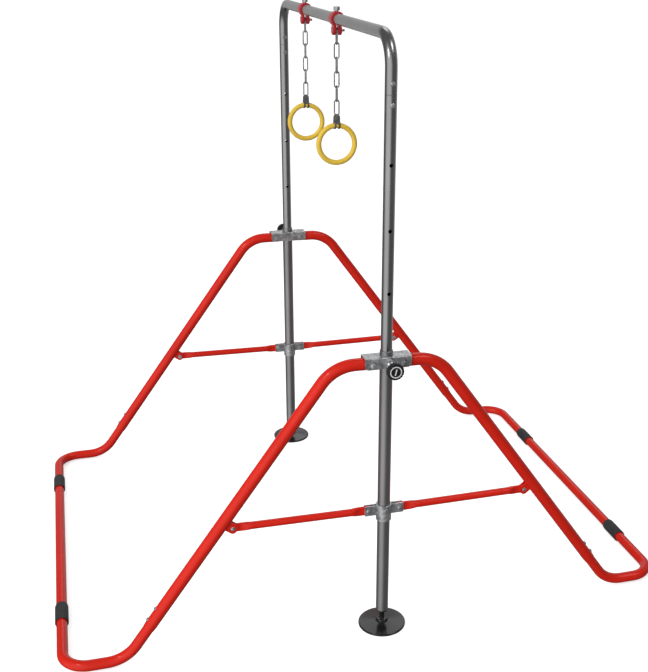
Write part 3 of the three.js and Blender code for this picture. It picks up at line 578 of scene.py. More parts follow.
for side, out in SIDES.items():
    x = out * POST_X
    inner_ends = [at(x, 0, EXTENSION_LOW), at(x, 0, SEAM_Z - 0.3 * MM)]
    pipe = tube(inner_ends, 0, RAIL_R, Y, RAIL_BORE, 48, 0.5 * MM)
    holes = [rod(at(x - CUT_REACH, 0, z), at(x + CUT_REACH, 0, z), LOCK_HOLE_R, 24) for z in HOLES_Z]
    finish_piece(f"{side}_extension_tube", drilled([pipe], holes), BRIGHT_STEEL, "top_frame",
                 [f"{side}_extension"])
    outer = tube([at(x, 0, POST_LOW), at(x, 0, POST_HIGH)], 0, POST_R, Y, POST_BORE, 48, 0.6 * MM)
    pin_hole = rod(at(x, 0, LOCK_Z), at(x + out * CUT_REACH, 0, LOCK_Z), PIN_HOLE_R, 24)
    finish_piece(f"{side}_post_tube", drilled([outer], [pin_hole]), SATIN_STEEL, "root",
                 [f"{side}_post"])
    for level, z in JOINT_BOLTS_Z.items():
        skins = through_bolt(at(x, 0, z), out * (RAIL_R + 0.2 * MM) * X, 3 * MM, SMALL_HEAD, SMALL_NUT)
        make(f"{side}_{level}_joint_screw", skins, ZINC, "top_frame", [f"{side}_{level}_joint_bolt"])
print("posts and bar made")

# %% [markdown]
# Each post ends in a glossy black foot: a wide round disc with a raised rim, a round hub and a
# slim stem with a plug in the tube. It is one lathe form with softened corners.

# %% Feet
FOOT_DISC = [(0.2, 0), (60.8, 0), (62, 1.2), (62, 5.4), (60.6, 6.6), (58.6, 6.2), (40, 8.2)]
FOOT_HUB = [(17, 10.6), (15.5, 11.2), (14.8, 15.6), (13.4, 17), (7.4, 17.6), (6.6, 18.6), (6.5, 40.7)]
FOOT_PLUG = [(14.4, 41.2), (14.4, 45.6), (13.6, 45.8), (13.6, 74.5), (12.6, 76), (0.2, 76)]
for side, out in SIDES.items():
    profile = softened(np.array(FOOT_DISC + FOOT_HUB + FOOT_PLUG) * MM, 1.2 * MM)
    skin = turned(profile, at(out * POST_X, 0, 0), Z, 96)
    make(f"{side}_foot_disc", [skin], GLOSS_BLACK, "root", [f"{side}_foot"])
print("feet made")

# %% [markdown]
# A bracket is a steel channel bent from one plate, open at the bottom, with rounded lower
# corners. The post passes through its web, the legs pivot between its flanges, and the lock
# pin's housing is screwed into its outer flange.

# %% Brackets
BRACKET_TOP, BRACKET_LOW, BRACKET_HALF = 767 * MM, 738 * MM, 58 * MM
BRACKET_W, BRACKET_T, BRACKET_R = 20.5 * MM, 2.5 * MM, 10 * MM
PIVOT_HEAD, PIVOT_NUT = (7 * MM, 4.5 * MM), (7 * MM, 5.5 * MM)
POST_CUT_R, HOUSING_CUT_R, PIVOT_CUT_R = 16.3 * MM, 8.3 * MM, 4.3 * MM


def channel(x):
    """A U section carried along Y, whose flanges shorten along a quarter circle at the ends.

    low(y) = bottom + R - sqrt(R^2 - max(0, |y| - (half - R))^2).
    """
    centre = BRACKET_W - BRACKET_T / 2
    points, heads = route([at(-centre, 0, BRACKET_LOW), at(-centre, 0, BRACKET_TOP - BRACKET_T / 2),
                           at(centre, 0, BRACKET_TOP - BRACKET_T / 2), at(centre, 0, BRACKET_LOW)], 3 * MM, 6)
    normal = unit(np.cross(heads, Y))
    loop = np.concatenate([points + normal * BRACKET_T / 2, (points - normal * BRACKET_T / 2)[::-1]])
    y = np.concatenate([-BRACKET_HALF + BRACKET_R * (1 - np.cos(np.linspace(0, np.pi / 2, 9))), [0]])
    y = np.concatenate([y, -y[:-1][::-1]])
    over = np.maximum(0, np.abs(y) - (BRACKET_HALF - BRACKET_R))
    low = BRACKET_LOW + BRACKET_R - np.sqrt(np.maximum(BRACKET_R ** 2 - over ** 2, 0))
    knee = BRACKET_TOP - 2 * BRACKET_T
    share = np.clip((knee - loop[:, 2]) / (knee - BRACKET_LOW), 0, 1)
    rows = np.repeat(loop[None], len(y), 0)
    rows[:, :, 0] += x
    rows[:, :, 1] = y[:, None]
    rows[:, :, 2] += share[None] * (low - BRACKET_LOW)[:, None]
    return loft(rows)


for side, out in SIDES.items():
    x = out * POST_X
    cutters = [rod(at(x, 0, BRACKET_LOW), at(x, 0, BRACKET_TOP + 10 * MM), POST_CUT_R, 48),
               rod(at(x, 0, LOCK_Z), at(x + out * CUT_REACH, 0, LOCK_Z), HOUSING_CUT_R, 32)]
    cutters += [rod(at(x - CUT_REACH, y, PIVOT_Z), at(x + CUT_REACH, y, PIVOT_Z), PIVOT_CUT_R, 24)
                for y in (-PIVOT_Y, PIVOT_Y)]
    finish_piece(f"{side}_bracket_channel", drilled([channel(x)], cutters), ZINC, "root",
                 [f"{side}_bracket"])
    for face, sign in FACES.items():
        pivot, flange = at(x, sign * PIVOT_Y, PIVOT_Z), out * (BRACKET_W + 0.1 * MM) * X
        skins = through_bolt(pivot, flange, 4 * MM, PIVOT_HEAD, PIVOT_NUT)
        make(f"{side}_{face}_pivot_screw", skins, ZINC, "root", [f"{side}_{face}_pivot_bolt"])
print("brackets made")

# %% [markdown]
# The lock: a hexagon housing on the flange with a threaded neck, and a fluted black knob on
# the sprung pin. The knob is pulled out to free the extension tube. Its face carries a pale
# ring and a plain bar, which is only a mark.

# %% Lock housings and knobs
KNOB_R, KNOB_BACK, KNOB_FACE = 21 * MM, 54.1 * MM, 27.2 * MM
PIN_START, PIN_END, PIN_R = 14.3 * MM, 58 * MM, 3.5 * MM


def fluted(profile, angle):
    """Radius = r - depth (1 - |cos(9 angle)|)^2 on the widest rows, so 18 shallow flutes run round."""
    depth = 1.3 * MM * np.clip((profile[:, :1] - KNOB_R * 0.8) / (KNOB_R * 0.2), 0, 1)
    return profile[:, :1] - depth * (1 - np.abs(np.cos(9 * angle)))[None] ** 2


for side, out in SIDES.items():
    x = out * POST_X
    axis = out * X
    start = at(x, 0, LOCK_Z)
    hexagon_profile = np.array([(12.6, 20.6), (13.8, 21.4), (13.8, 36.8), (12.6, 37.6)]) * MM
    turns = np.arange(0, 14.5, 0.5)
    thread = np.stack([10 - 0.45 * (np.arange(len(turns)) % 2), 38.2 + turns], 1)
    neck = np.concatenate([[(6, 37.4), (9.2, 37.6)], thread, [(9.2, 53.4), (6, 53.6)]]) * MM
    nose = np.array([(7, 16.3), (8, 16.8), (8, 22), (7, 22.4)]) * MM
    skins = [turned(hexagon_profile, start, axis, 72, wave=hexagon),
             turned(neck, start, axis, 36), turned(nose, start, axis, 36)]
    make(f"{side}_lock_housing", skins, ZINC, "root", [f"{side}_pin_housing"])
    grip = softened(np.array([(0.2, 0), (12, 0), (12.5, 0.8), (12.5, 12.2), (19, 12.8), (21, 15), (21, 24.6),
                              (19.7, 27.2), (17.4, 28), (17, 28), (16.6, 27.2), (0.2, 27.2)]) * MM, 1.0 * MM)
    pin = rod(start + axis * PIN_START, start + axis * PIN_END, PIN_R, 24, 0.8 * MM)
    knob = turned(grip, start + axis * KNOB_BACK, axis, 144, wave=fluted)
    make(f"{side}_knob_grip", [knob], BLACK, f"{side}_knob", [f"{side}_lock_knob"])
    make(f"{side}_knob_pin", [pin], ZINC, f"{side}_knob", [])
    face = start + axis * (KNOB_BACK + KNOB_FACE)
    pale = softened(np.array([(12, -0.3), (12, 0.35), (14.6, 0.35), (14.6, -0.3)]) * MM, 0.15 * MM)
    lean = math.radians(14)
    across = math.cos(lean) * Y - math.sin(lean) * Z
    along = math.sin(lean) * Y + math.cos(lean) * Z
    low, high = sorted((-out * 0.3 * MM, out * 0.35 * MM))
    bar_outline = outline_of(np.array([(-1.5, -8), (1.5, -8), (1.5, 8), (-1.5, 8)]) * MM, 1.3 * MM)
    bar_mark = plate(bar_outline, low, high, across, along, 0.1 * MM)
    marks = [turned(pale, face, axis, 72, ring=True), moved(bar_mark, face)]
    make(f"{side}_knob_mark", marks, MARK, f"{side}_knob", [])
print("locks made")

# %% [markdown]
# A leg is one bent tube with a fork at its upper end, so it can leave its pivot as the frame
# folds. Near the middle two small plates are welded on for the brace. Its lower end is drawn
# in round the floor bar that is pushed into it, and two round-headed screws hold the bar.

# %% Leg shapes
FORK_IN, FORK_OUT, FORK_FACE = 3.3 * MM, 6.3 * MM, 6.4 * MM
FORK_BOLT_R, FORK_NUT, LUG_HEAD = 4 * MM, (7 * MM, 5.4 * MM), (5.6 * MM, 3.2 * MM)
LEG_TAIL, LEG_TIP_R = 13 * MM, 15 * MM
SCREWS_UP, SCREW_TOP, SCREW_END = (21 * MM, 55.4 * MM), 15.3 * MM, 15.7 * MM
SCREW_HEAD, SCREW_R = (5 * MM, 3.6 * MM), 3.5 * MM


def leg_points(sign):
    """Inner end, corner and lower end of a leg, and its downhill and outward directions."""
    downhill = at(0, sign * math.sin(SLOPE), -math.cos(SLOPE))
    corner = at(0, sign * LEG_CORNER, PIVOT_Z)
    outward = at(0, sign * math.cos(SLOPE), math.sin(SLOPE))
    inner = at(0, sign * (PIVOT_Y - LEG_TAIL), PIVOT_Z)
    return inner, corner, corner + downhill * LEG_LENGTH, downhill, outward


def rounded_tip(sign, x):
    """What lies beyond a half-round end about the pivot, as a closed block to cut away.

    The edge of the cut is (y, z) = pivot + 15 mm (-cos a, sin a) for a from -90 to 90 degrees.
    """
    angle = np.linspace(-np.pi / 2, np.pi / 2, 17)
    curve = np.stack([PIVOT_Y - LEG_TIP_R * np.cos(angle), LEG_TIP_R * np.sin(angle)], 1)
    beyond = np.array([(38, 20), (-12, 20), (-12, -20), (38, -20)]) * MM
    outline = np.concatenate([curve, beyond]) * [sign, 1] + [0, PIVOT_Z]
    return loft(np.stack([np.insert(outline, 0, x + reach, 1) for reach in (-CUT_REACH, CUT_REACH)]))


def fork_slot(sign, x):
    """The slot that makes a leg's end a fork: it leans 15 degrees and ends in a half circle."""
    lean, half, length = math.radians(15), 5.2 * MM, 40 * MM
    inward = at(0, -sign * math.cos(lean), math.sin(lean))
    corners = [(length, -half), (length, half), (-half, half), (-half, -half)]
    outline = outline_of(corners, [0.1 * MM, 0.1 * MM, half * 0.98, half * 0.98], 8)
    slot = plate(outline, -CUT_REACH, CUT_REACH, inward, np.cross(X, inward), 0.1 * MM)
    return moved(slot, at(x, sign * PIVOT_Y, PIVOT_Z))


def fork_plates(outline, place, u, v):
    """Two plates of one outline in directions u and v, with room for a flat eye between them."""
    pairs = [sorted((plane * FORK_IN, plane * FORK_OUT)) for plane in (-1, 1)]
    return [moved(plate(outline, low, high, u, v, 0.4 * MM), place) for low, high in pairs]


print("leg shapes ready")

# %% Legs
for side, out in SIDES.items():
    for face, sign in FACES.items():
        x = out * POST_X
        shift = at(x, 0, 0)
        inner, corner, lower, downhill, outward = leg_points(sign)
        pipe = tube([inner + shift, corner + shift, lower + shift], LEG_BEND, LEG_R, X, LEG_BORE, 40,
                    0.3 * MM, neck=(14 * MM, 14.7 * MM))
        name = f"{side}_{face}_leg"
        finish_piece(f"{name}_tube", drilled([pipe], [fork_slot(sign, x), rounded_tip(sign, x)]), RED,
                     f"{face}_legs", [name])
        lug = at(x, sign * LUG_Y, LUG_Z)
        lug_outline = outline_of(np.array([(-13, 14.5), (-13, -12), (13, -12), (13, 14.5)]) * MM,
                                 [1 * MM, 9 * MM, 9 * MM, 1 * MM])
        plates = fork_plates(lug_outline, lug, downhill, outward)
        make(f"{name}_lug", plates, RED, f"{face}_legs", [])
        bolts = through_bolt(lug, out * FORK_FACE * X, FORK_BOLT_R, LUG_HEAD, FORK_NUT)
        for up in SCREWS_UP:
            place = lower + shift - downhill * up
            bolts += [dome_head(place + outward * SCREW_TOP, outward, *SCREW_HEAD),
                      rod(place + outward * SCREW_TOP, place - outward * SCREW_END, SCREW_R, 24)]
        make(f"{name}_bolts", bolts, ZINC, f"{face}_legs", [])
print("legs made")

# %% [markdown]
# A floor bar is one long tube: out of one leg, down to the floor, along it, round a corner,
# across, and back up into the other leg. Rubber sleeves keep it off the floor.

# %% Floor bars and sleeves
BASE_SPIGOT = 75 * MM
SLEEVE_WALL = [(14.1, -38.5), (16.0, -38.5), (17.3, -32), (17.3, 37.9), (16.9, 38.5), (16.5, 38.5),
               (16.1, 28), (14.1, 27.5)]

for face, sign in FACES.items():
    _, _, lower, downhill, _ = leg_points(sign)
    knee_y = LEG_CORNER + (PIVOT_Z - BASE_Z) * math.tan(SLOPE)
    top = lower - downhill * BASE_SPIGOT
    stops = [top + at(POST_X, 0, 0), at(POST_X, sign * knee_y, BASE_Z), at(POST_X, sign * BASE_Y, BASE_Z),
             at(-POST_X, sign * BASE_Y, BASE_Z), at(-POST_X, sign * knee_y, BASE_Z), top - at(POST_X, 0, 0)]
    bends = [BASE_BEND, BASE_CORNER, BASE_CORNER, BASE_BEND]
    bar = tube(stops, bends, BASE_R, at(0.3, 0.2, 0.93), BASE_BORE, 36, 0.5 * MM)
    make(f"{face}_floor_tube", [bar], RED, f"{face}_legs", [f"{face}_floor_bar"])
    for side in SIDES:
        x = SLEEVE_X[face, side]
        wall = softened(np.array(SLEEVE_WALL) * MM, 0.5 * MM)
        skin = turned(wall, at(x, sign * BASE_Y, BASE_Z), X, 64, ring=True)
        skin[0][:, 2] = np.maximum(skin[0][:, 2], 0)
        make(f"{face}_{side}_rubber", [skin], RUBBER, f"{face}_legs", [f"{face}_{side}_sleeve"])
print("floor bars made")

# %% [markdown]
# A collar slides on each post and carries both braces between forked ears. A brace is a round
# tube pressed flat at its ends, each with an eye for a bolt.

# %% Collars and braces
BRACE_R, BRACE_FLAT, EYE_TIPS = 9.5 * MM, 2.7 * MM, (12.2 * MM, 11.2 * MM)
COLLAR_WALL = [(16.3, -33), (18.5, -33), (19.5, -32), (19.5, 8), (20.4, 9), (20.4, 11), (19.5, 12),
               (16.3, 12)]
EAR_HEAD, BUTTON, BUTTON_FACE = (6 * MM, 3.4 * MM), (6 * MM, 4 * MM), 19.2 * MM


def brace_skin(x, sign):
    """Brace from ear bolt to lug bolt: its section is an ellipse that runs from flat to round.

    Half width b(s) and half thickness a(s) change with a smooth step between 20 and 46 mm
    from each eye; beyond the eye b follows a half circle. The upper eye is pressed a little wider.
    """
    near, far = at(x, sign * EAR_Y, EAR_Z), at(x, sign * LUG_Y, LUG_Z)
    length = float(np.linalg.norm(far - near))
    run = (far - near) / length
    rise = 1 - np.cos(np.linspace(0.12, np.pi / 2, 9))
    body = np.concatenate([np.linspace(4 * MM, 60 * MM, 18), [length / 2]])
    ends = [np.concatenate([(rise - 1) * tip, body]) for tip in EYE_TIPS]
    s = np.concatenate([ends[0], length - ends[1][:-1][::-1]])
    d = np.minimum(s, length - s)
    tip = np.where(s < length / 2, *EYE_TIPS)
    t = np.clip((d - 20 * MM) / (26 * MM), 0, 1)
    t = t * t * (3 - 2 * t)
    eye = tip * np.sqrt(np.clip(1 - np.minimum(d, 0) ** 2 / tip ** 2, 0, 1))
    half_w = (1 - t) * eye + t * BRACE_R
    half_t = (1 - t) * BRACE_FLAT + t * BRACE_R
    angle = np.linspace(0, 2 * np.pi, 40, endpoint=False)
    power = (2 / (2 + 4 * (1 - t)))[:, None]
    c, n = np.cos(angle)[None], np.sin(angle)[None]
    across = np.sign(c) * np.abs(c) ** power * half_t[:, None]
    tall = np.sign(n) * np.abs(n) ** power * half_w[:, None]
    upright = np.cross(X, run)
    return loft(near + s[:, None, None] * run + across[..., None] * X + tall[..., None] * upright)


for side, out in SIDES.items():
    x = out * POST_X
    wall = softened(np.array(COLLAR_WALL) * MM, 0.5 * MM)
    sleeve_skin = turned(wall, at(x, 0, COLLAR_Z), Z, 64, ring=True)
    plates, bolts = [], []
    for face, sign in FACES.items():
        ear_outline = outline_of(np.array([(17.2, -13.5), (51, -13.5), (51, 13.5), (17.2, 13.5)]) * MM,
                                 [0.5 * MM, 2 * MM, 2 * MM, 0.5 * MM])
        plates += fork_plates(ear_outline, at(x, 0, EAR_Z), sign * Y, sign * Z)
        ear = at(x, sign * EAR_Y, EAR_Z)
        bolts += through_bolt(ear, out * FORK_FACE * X, FORK_BOLT_R, EAR_HEAD, FORK_NUT)
        name = f"{side}_{face}_brace"
        make(f"{name}_bar", [brace_skin(x, sign)], RED, name, [name])
    name = f"{side}_collar"
    button = dome_head(at(x + out * BUTTON_FACE, 0, COLLAR_Z), out * X, *BUTTON)
    make(f"{name}_sleeve", [sleeve_skin, *plates, button], ZINC, name, [name])
    make(f"{name}_bolts", bolts, ZINC, name, [])
print("collars and braces made")

# %% [markdown]
# A ring clamp is a thick painted casting that goes round the top bar. Its two ends come together
# below the bar as heavy rounded ears. A cross bolt through them carries the chain, and its head
# and nut sit in pockets. A hexagon screw on top bears on the bar.

# %% Ring clamps
CLAMP_IN, CLAMP_OUT = 14.2 * MM, 18.8 * MM
EAR_IN, EAR_OUT, EAR_R, EAR_DROP = 3.5 * MM, 12 * MM, 12 * MM, 28 * MM
CLAMP_CORNER, BAND_CORNER, BAND_START = 2 * MM, 1.2 * MM, 12.3 * MM
WAIST_IN, SHOULDER_Z, SHOULDER_H = 2.4 * MM, -21.6 * MM, 3.2 * MM
POCKET_Y, POCKET_R, CROSS_CUT_R, SCREW_CUT_R = 8.1 * MM, 6.8 * MM, 3.8 * MM, 4.8 * MM


def clamp_section(foot, face, outer, arcs=40):
    """One outline in Y and Z: up the outer face of an ear, over the bar, down, and back inside.

    The outer arc has radius outer and meets the waist at asin(waist / outer); the inner arc is
    0.2 mm wider than the bar and opens at asin(gap / radius). The ear's foot has 2 mm corners,
    and above the ear the outer face draws in to a waist by a quarter wave.
    """
    def arc(radius, half, turn=1):
        """Points round the bar, radius (cos a, sin a), open by half an angle each side of down."""
        angle = np.linspace(-np.pi / 2 + half, 3 * np.pi / 2 - half, arcs)[::turn]
        return np.stack([np.cos(angle), np.sin(angle)], 1) * radius

    def foot_corner(y, side, start):
        """A quarter circle at the ear's face y, on its inner or outer side."""
        angle = start + np.linspace(0, np.pi / 2, 5)
        y_rim = y - side * CLAMP_CORNER + CLAMP_CORNER * np.cos(angle)
        return np.stack([y_rim, foot + CLAMP_CORNER + CLAMP_CORNER * np.sin(angle)], 1)

    waist = face - WAIST_IN
    wave = np.sin(np.linspace(0, np.pi / 2, 5))
    shoulder = np.stack([np.linspace(face, waist, 5), SHOULDER_Z + SHOULDER_H * wave], 1)
    shoulder[:, 1] = np.maximum(shoulder[:, 1], foot + 2.2 * MM)
    right = np.concatenate([foot_corner(EAR_IN, -1, np.pi), foot_corner(face, 1, -np.pi / 2), shoulder])
    left = right[::-1] * [-1, 1]
    meeting, opening = np.arcsin(np.minimum(1, waist / outer)), np.arcsin(EAR_IN / CLAMP_IN)
    return np.concatenate([right, arc(outer, meeting), left, arc(CLAMP_IN, opening, -1)])


def clamp_skin(x):
    """Sections carried along X from s = -13.5 to 13.5 mm.

    On the ear, |s| < 12 mm, foot = -28 - sqrt(12^2 - s^2) mm; outer faces pull in by a
    quarter circle of 2 mm at its sides, and the band's outer edge by one of 1.2 mm.
    """
    def pull(over, radius):
        """How far a face draws in, over a distance past its start: R - sqrt(R^2 - over^2)."""
        return radius - np.sqrt(np.maximum(radius ** 2 - np.clip(over, 0, radius) ** 2, 0))

    ear = np.sin(np.linspace(0, np.pi / 2, 12)) * EAR_R
    band = BAND_START + BAND_CORNER * np.sin(np.linspace(0, np.pi / 2, 6))
    side = np.concatenate([ear, [12.06 * MM], band])
    foot = np.where(side <= EAR_R, -EAR_DROP - np.sqrt(np.maximum(EAR_R ** 2 - side ** 2, 0)), -19.2 * MM)
    face = EAR_OUT - pull(side - (EAR_R - CLAMP_CORNER), CLAMP_CORNER)
    outer = CLAMP_OUT - pull(side - BAND_START, BAND_CORNER)
    rows = np.stack([np.insert(clamp_section(*values), 0, x + place, 1)
                     for place, *values in zip(side, foot, face, outer)])
    mirrored = rows[1:][::-1] * [-1, 1, 1] + [2 * x, 0, 0]
    return loft(np.concatenate([mirrored, rows]) + [0, 0, RAIL_Z])


for side, x in CLAMP_X.items():
    z = RAIL_Z - EAR_DROP
    cutters = [rod(at(x, -CUT_REACH, z), at(x, CUT_REACH, z), CROSS_CUT_R, 24),
               rod(at(x, 0, RAIL_Z + 10 * MM), at(x, 0, RAIL_Z + 30 * MM), SCREW_CUT_R, 24)]
    cutters += [rod(at(x, way * POCKET_Y, z), at(x, way * CUT_REACH, z), POCKET_R, 40) for way in (-1, 1)]
    finish_piece(f"{side}_clamp_body", drilled([clamp_skin(x)], cutters), CAST_RED, "top_frame",
                 [f"{side}_ring_clamp"])
    head_face = RAIL_Z + 21.8 * MM
    screw = [rod(at(x, 0, RAIL_Z + 14.3 * MM), at(x, 0, head_face + 2 * MM), 4.5 * MM)]
    cap = np.array([(7.6, -1.6), (8.5, -0.9), (8.5, 7), (7.2, 8), (0.3, 8)]) * MM
    screw.append(turned(cap, at(x, 0, head_face), Z, 72, wave=hexagon))
    make(f"{side}_clamp_hex_screw", screw, ZINC, "top_frame", [f"{side}_clamp_screw"])
    seat = POCKET_Y + 0.1 * MM
    cross = [dome_head(at(x, -seat, z), -Y, *SMALL_HEAD), rod(at(x, -seat, z), at(x, seat, z), 3.5 * MM),
             *nut(at(x, seat, z), Y, *SMALL_HEAD, 9 * MM, 3.4 * MM)]
    make(f"{side}_clamp_cross_bolt", cross, ZINC, "top_frame", [f"{side}_clamp_bolt"])
print("clamps made")

# %% [markdown]
# Each chain has six long round-wire links, every second one turned by a quarter. A link is a
# small circle carried along two straights and two half circles.

# %% Chains
WIRE, LINK_L, LINK_W, LINKS = 1.9 * MM, 44 * MM, 16 * MM, 6
LINK_PITCH = LINK_L - 4 * WIRE - 0.3 * MM
FIRST_LINK = RAIL_Z - EAR_DROP + 3.5 * MM + WIRE + 0.3 * MM - (LINK_L / 2 - WIRE)


def link_skin(x, z, turned_link):
    """Link(a, b): a runs round the oval of half circles of radius 6.1 mm, b round the wire."""
    radius, rise = LINK_W / 2 - WIRE, LINK_L / 2 - LINK_W / 2
    a = np.linspace(0, np.pi, 15)
    half_turn = np.stack([np.cos(a), np.sin(a)], 1)
    upper = radius * half_turn + [0, rise]
    oval = np.concatenate([upper, -upper])
    out = np.concatenate([half_turn, -half_turn])
    flat, square = (Y, X) if turned_link else (X, Y)
    b = np.linspace(0, 2 * np.pi, 14, endpoint=False)
    centre = at(x, 0, z) + oval[:, :1] * flat + oval[:, 1:] * Z
    spoke = out[:, :1] * flat + out[:, 1:] * Z
    wire = np.cos(b)[None, :, None] * spoke[:, None] + np.sin(b)[None, :, None] * square
    return loft(centre[:, None] + WIRE * wire, ring=True)


for side, x in CLAMP_X.items():
    for k in range(LINKS):
        skin = link_skin(x, FIRST_LINK - k * LINK_PITCH, k % 2 == 1)
        link = f"{side}_link_{k + 1}"
        make(f"{side}_chain_{k + 1}", [skin], CHAIN_STEEL, link, [link])
print("chains made")

# %% [markdown]
# The ring hangs in a folded steel strip. The strip is narrow where it passes through the last
# link, wide below, and its bottom is slotted, so two tabs go round the ring.

# %% Hangers and rings
LAST_WIRE = FIRST_LINK - (LINKS - 1) * LINK_PITCH - (LINK_L / 2 - WIRE)
RING_TOP = LAST_WIRE - 25.5 * MM
RING_R, RING_SECTION = 49 * MM, 7 * MM
SEAM_DEPTH, SEAM_WIDTH = 0.12 * MM, 0.06


def hanger_skin(x):
    """Closed strip: a small half circle over the link's wire and a large one under the ring's tube.

    Straights join them. The width steps from 6 to 16 mm at a square shoulder level with the wire.
    """
    small, large = 3.05 * MM, 8.75 * MM
    a = np.linspace(0, np.pi, 13)
    upper = np.stack([small * np.cos(a), LAST_WIRE + 1 * MM + small * np.sin(a)], 1)
    b = np.linspace(np.pi, 2 * np.pi, 25)
    lower = np.stack([large * np.cos(b), RING_TOP + large * np.sin(b)], 1)
    t = np.concatenate([[0.03, 0.036], np.linspace(0.1, 1, 10)[:-1]])[:, None]
    down, up = upper[-1] * (1 - t) + lower[0] * t, (lower[-1] * t + upper[0] * (1 - t))[::-1]
    path = np.concatenate([upper, down, lower, up])
    width = np.where(path[:, 1] > LAST_WIRE + 0.1 * MM, 6 * MM, 16 * MM)
    points = np.stack([x + path[:, 0], np.zeros(len(path)), path[:, 1]], 1)
    heads = unit(np.roll(points, -1, 0) - np.roll(points, 1, 0))
    return strap(points, heads, Y, width, 1.5 * MM, 0.35 * MM)


for side, x in CLAMP_X.items():
    slot_outline = outline_of(np.array([(-3.25, -12), (3.25, -12), (3.25, 4.5), (-3.25, 4.5)]) * MM,
                              [0.1 * MM, 1 * MM, 1 * MM, 0.1 * MM])
    slot_cut = moved(plate(slot_outline, -20 * MM, 20 * MM, Y, Z, 0.1 * MM), at(x, 0, RING_TOP))
    finish_piece(f"{side}_ring_strap", drilled([hanger_skin(x)], [slot_cut]), STRAP_STEEL,
                 f"{side}_hanger", [f"{side}_hanger"], 40)
    around = np.linspace(0, 2 * np.pi, 128, endpoint=False)
    spoke = np.sin(around)[:, None] * Y + np.cos(around)[:, None] * Z
    section = np.linspace(0, 2 * np.pi, 32, endpoint=False)
    seam = RING_SECTION - SEAM_DEPTH * np.exp(-(np.sin(section) / SEAM_WIDTH) ** 2)
    hub = at(x, 0, RING_TOP - RING_R) + RING_R * spoke
    rows = (hub[:, None] + (seam * np.cos(section))[None, :, None] * spoke[:, None]
            + (seam * np.sin(section))[None, :, None] * X)
    name = f"{side}_ring"
    make(f"{side}_hand_ring", [loft(rows, ring=True)], YELLOW, name, [name])
print("rings made")

# %% [markdown]
# The set is a plain white floor and a soft studio. The photographed frame was lit from the left
# of the camera, so the studio is bright there and dim above, to the right and below. A weaker
# light stands straight behind the frame, for looks from the back. The floor is white only for
# the camera: it sends no light back, or the undersides would lose their shade.

# %% Floor
bpy.context.scene.view_settings.view_transform = "Standard"
floor_mesh = bpy.data.meshes.new("floor")
floor_mesh.from_pydata([(-60, -60, 0), (60, -60, 0), (60, 60, 0), (-60, 60, 0)], [], [(0, 1, 2, 3)])
floor = placed("floor", floor_mesh)
floor_material, _, _, floor_shader = new_material("pale_floor", 0.0, 0.9, (0.95, 0.95, 0.95))
floor_shader.inputs["Specular IOR Level"].default_value = 0.0
floor_shader.inputs["Emission Color"].default_value = (1, 1, 1, 1)
floor_shader.inputs["Emission Strength"].default_value = 0.62
floor_mesh.materials.append(floor_material)
floor.visible_diffuse = floor.visible_glossy = False

# %% [markdown]
# The world answers each kind of light ray with its own picture of the studio: soft shade for
# paint, four broad panels and a small bright one for polished metal to mirror, and plain white
# behind the frame.

# %% Studio
world = bpy.data.worlds.new("studio")
bpy.context.scene.world = world
world.use_nodes = True
world_nodes, world_links = world.node_tree.nodes, world.node_tree.links
world_nodes.clear()
heading = world_nodes.new("ShaderNodeTexCoord").outputs["Generated"]
ray = world_nodes.new("ShaderNodeLightPath")


def panel(direction, start, end, dim, bright):
    """Light that rises from dim to bright as a ray turns towards a direction (their dot product)."""
    dot = world_nodes.new("ShaderNodeVectorMath")
    dot.operation = "DOT_PRODUCT"
    dot.inputs[1].default_value = direction
    world_links.new(heading, dot.inputs[0])
    ramp = world_nodes.new("ShaderNodeMapRange")
    ramp.interpolation_type = "SMOOTHSTEP"
    for key, value in (("From Min", start), ("From Max", end), ("To Min", dim), ("To Max", bright)):
        ramp.inputs[key].default_value = value
    world_links.new(dot.outputs["Value"], ramp.inputs["Value"])
    return ramp.outputs["Result"]


def total(first, second):
    """Sum of two lights."""
    add = world_nodes.new("ShaderNodeMath")
    add.operation = "ADD"
    world_links.new(first, add.inputs[0])
    world_links.new(second, add.inputs[1])
    return add.outputs["Value"]


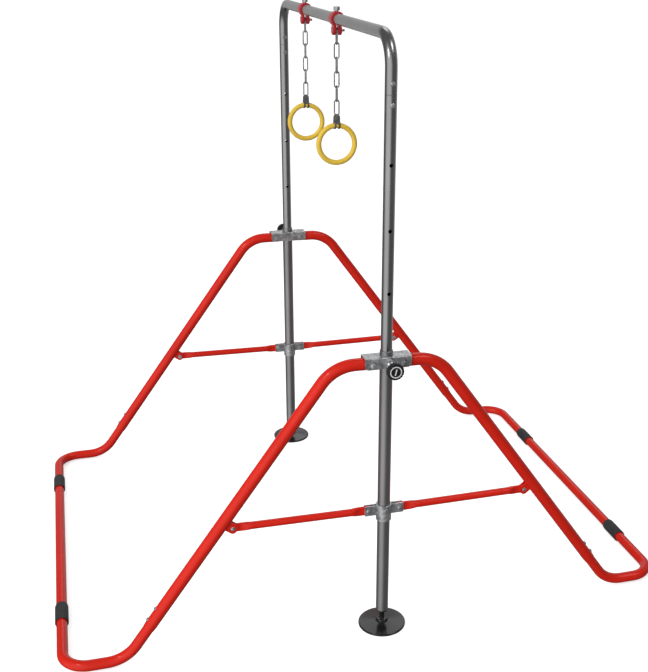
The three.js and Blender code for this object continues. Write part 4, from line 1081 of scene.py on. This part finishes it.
def backdrop(strength):
    """A white background of a given strength."""
    node = world_nodes.new("ShaderNodeBackground")
    if isinstance(strength, float):
        node.inputs["Strength"].default_value = strength
    else:
        world_links.new(strength, node.inputs["Strength"])
    return node.outputs["Background"]


def choose(test, when_false, when_true):
    """One of two backgrounds, by the kind of ray."""
    mix = world_nodes.new("ShaderNodeMixShader")
    world_links.new(ray.outputs[test], mix.inputs[0])
    world_links.new(when_false, mix.inputs[1])
    world_links.new(when_true, mix.inputs[2])
    return mix.outputs["Shader"]


front_shade = panel((0.58, -0.70, 0.41), -0.15, 0.95, 0.05, 1.12)
rear_shade = panel((-0.76, 0.62, 0.20), 0.35, 0.90, 0.0, 0.75)
shade = backdrop(total(front_shade, rear_shade))
left_panel = panel((0.62, -0.78, 0), 0.45, 0.92, 0.15, 0.92)
far_panel = panel((-0.99, 0.08, 0.05), 0.78, 0.95, 0.0, 0.42)
high_panel = panel((-0.70, 0.22, 0.68), 0.955, 0.985, 0.0, 1.3)
rear_panel = panel((-0.62, 0.78, 0.05), 0.60, 0.95, 0.0, 0.28)
glint_panel = panel((0.35, 0.45, 0.80), 0.94, 0.99, 0.0, 5.0)
mirror = backdrop(total(total(total(left_panel, far_panel), total(high_panel, rear_panel)), glint_panel))
answer = choose("Is Camera Ray", choose("Is Glossy Ray", shade, mirror), backdrop(1.3))
world_out = world_nodes.new("ShaderNodeOutputWorld")
world_links.new(answer, world_out.inputs["Surface"])


def lamp(name, place, target, width, height, power, mirrored=True):
    """A flat soft lamp aimed at a point. Polished metal mirrors it unless mirrored is off."""
    data = bpy.data.lights.new(name, "AREA")
    data.shape, data.size, data.size_y, data.energy = "RECTANGLE", width, height, power
    light = placed(name, data)
    light.location = place
    light.rotation_euler = (Vector(target) - Vector(place)).to_track_quat("-Z", "Y").to_euler()
    light.visible_glossy = mirrored


lamp("key", (3.2, -2.6, 1.7), (0, 0, 0.5), 1.6, 1.6, 40, mirrored=False)
lamp("strip", (2.6, -3.6, 4.2), (0, 0, 0.6), 0.9, 0.9, 30)
lamp("back", (-3.0, -1.0, 3.6), (0, 0, 0.7), 1.6, 1.0, 15, mirrored=False)
print("studio ready")
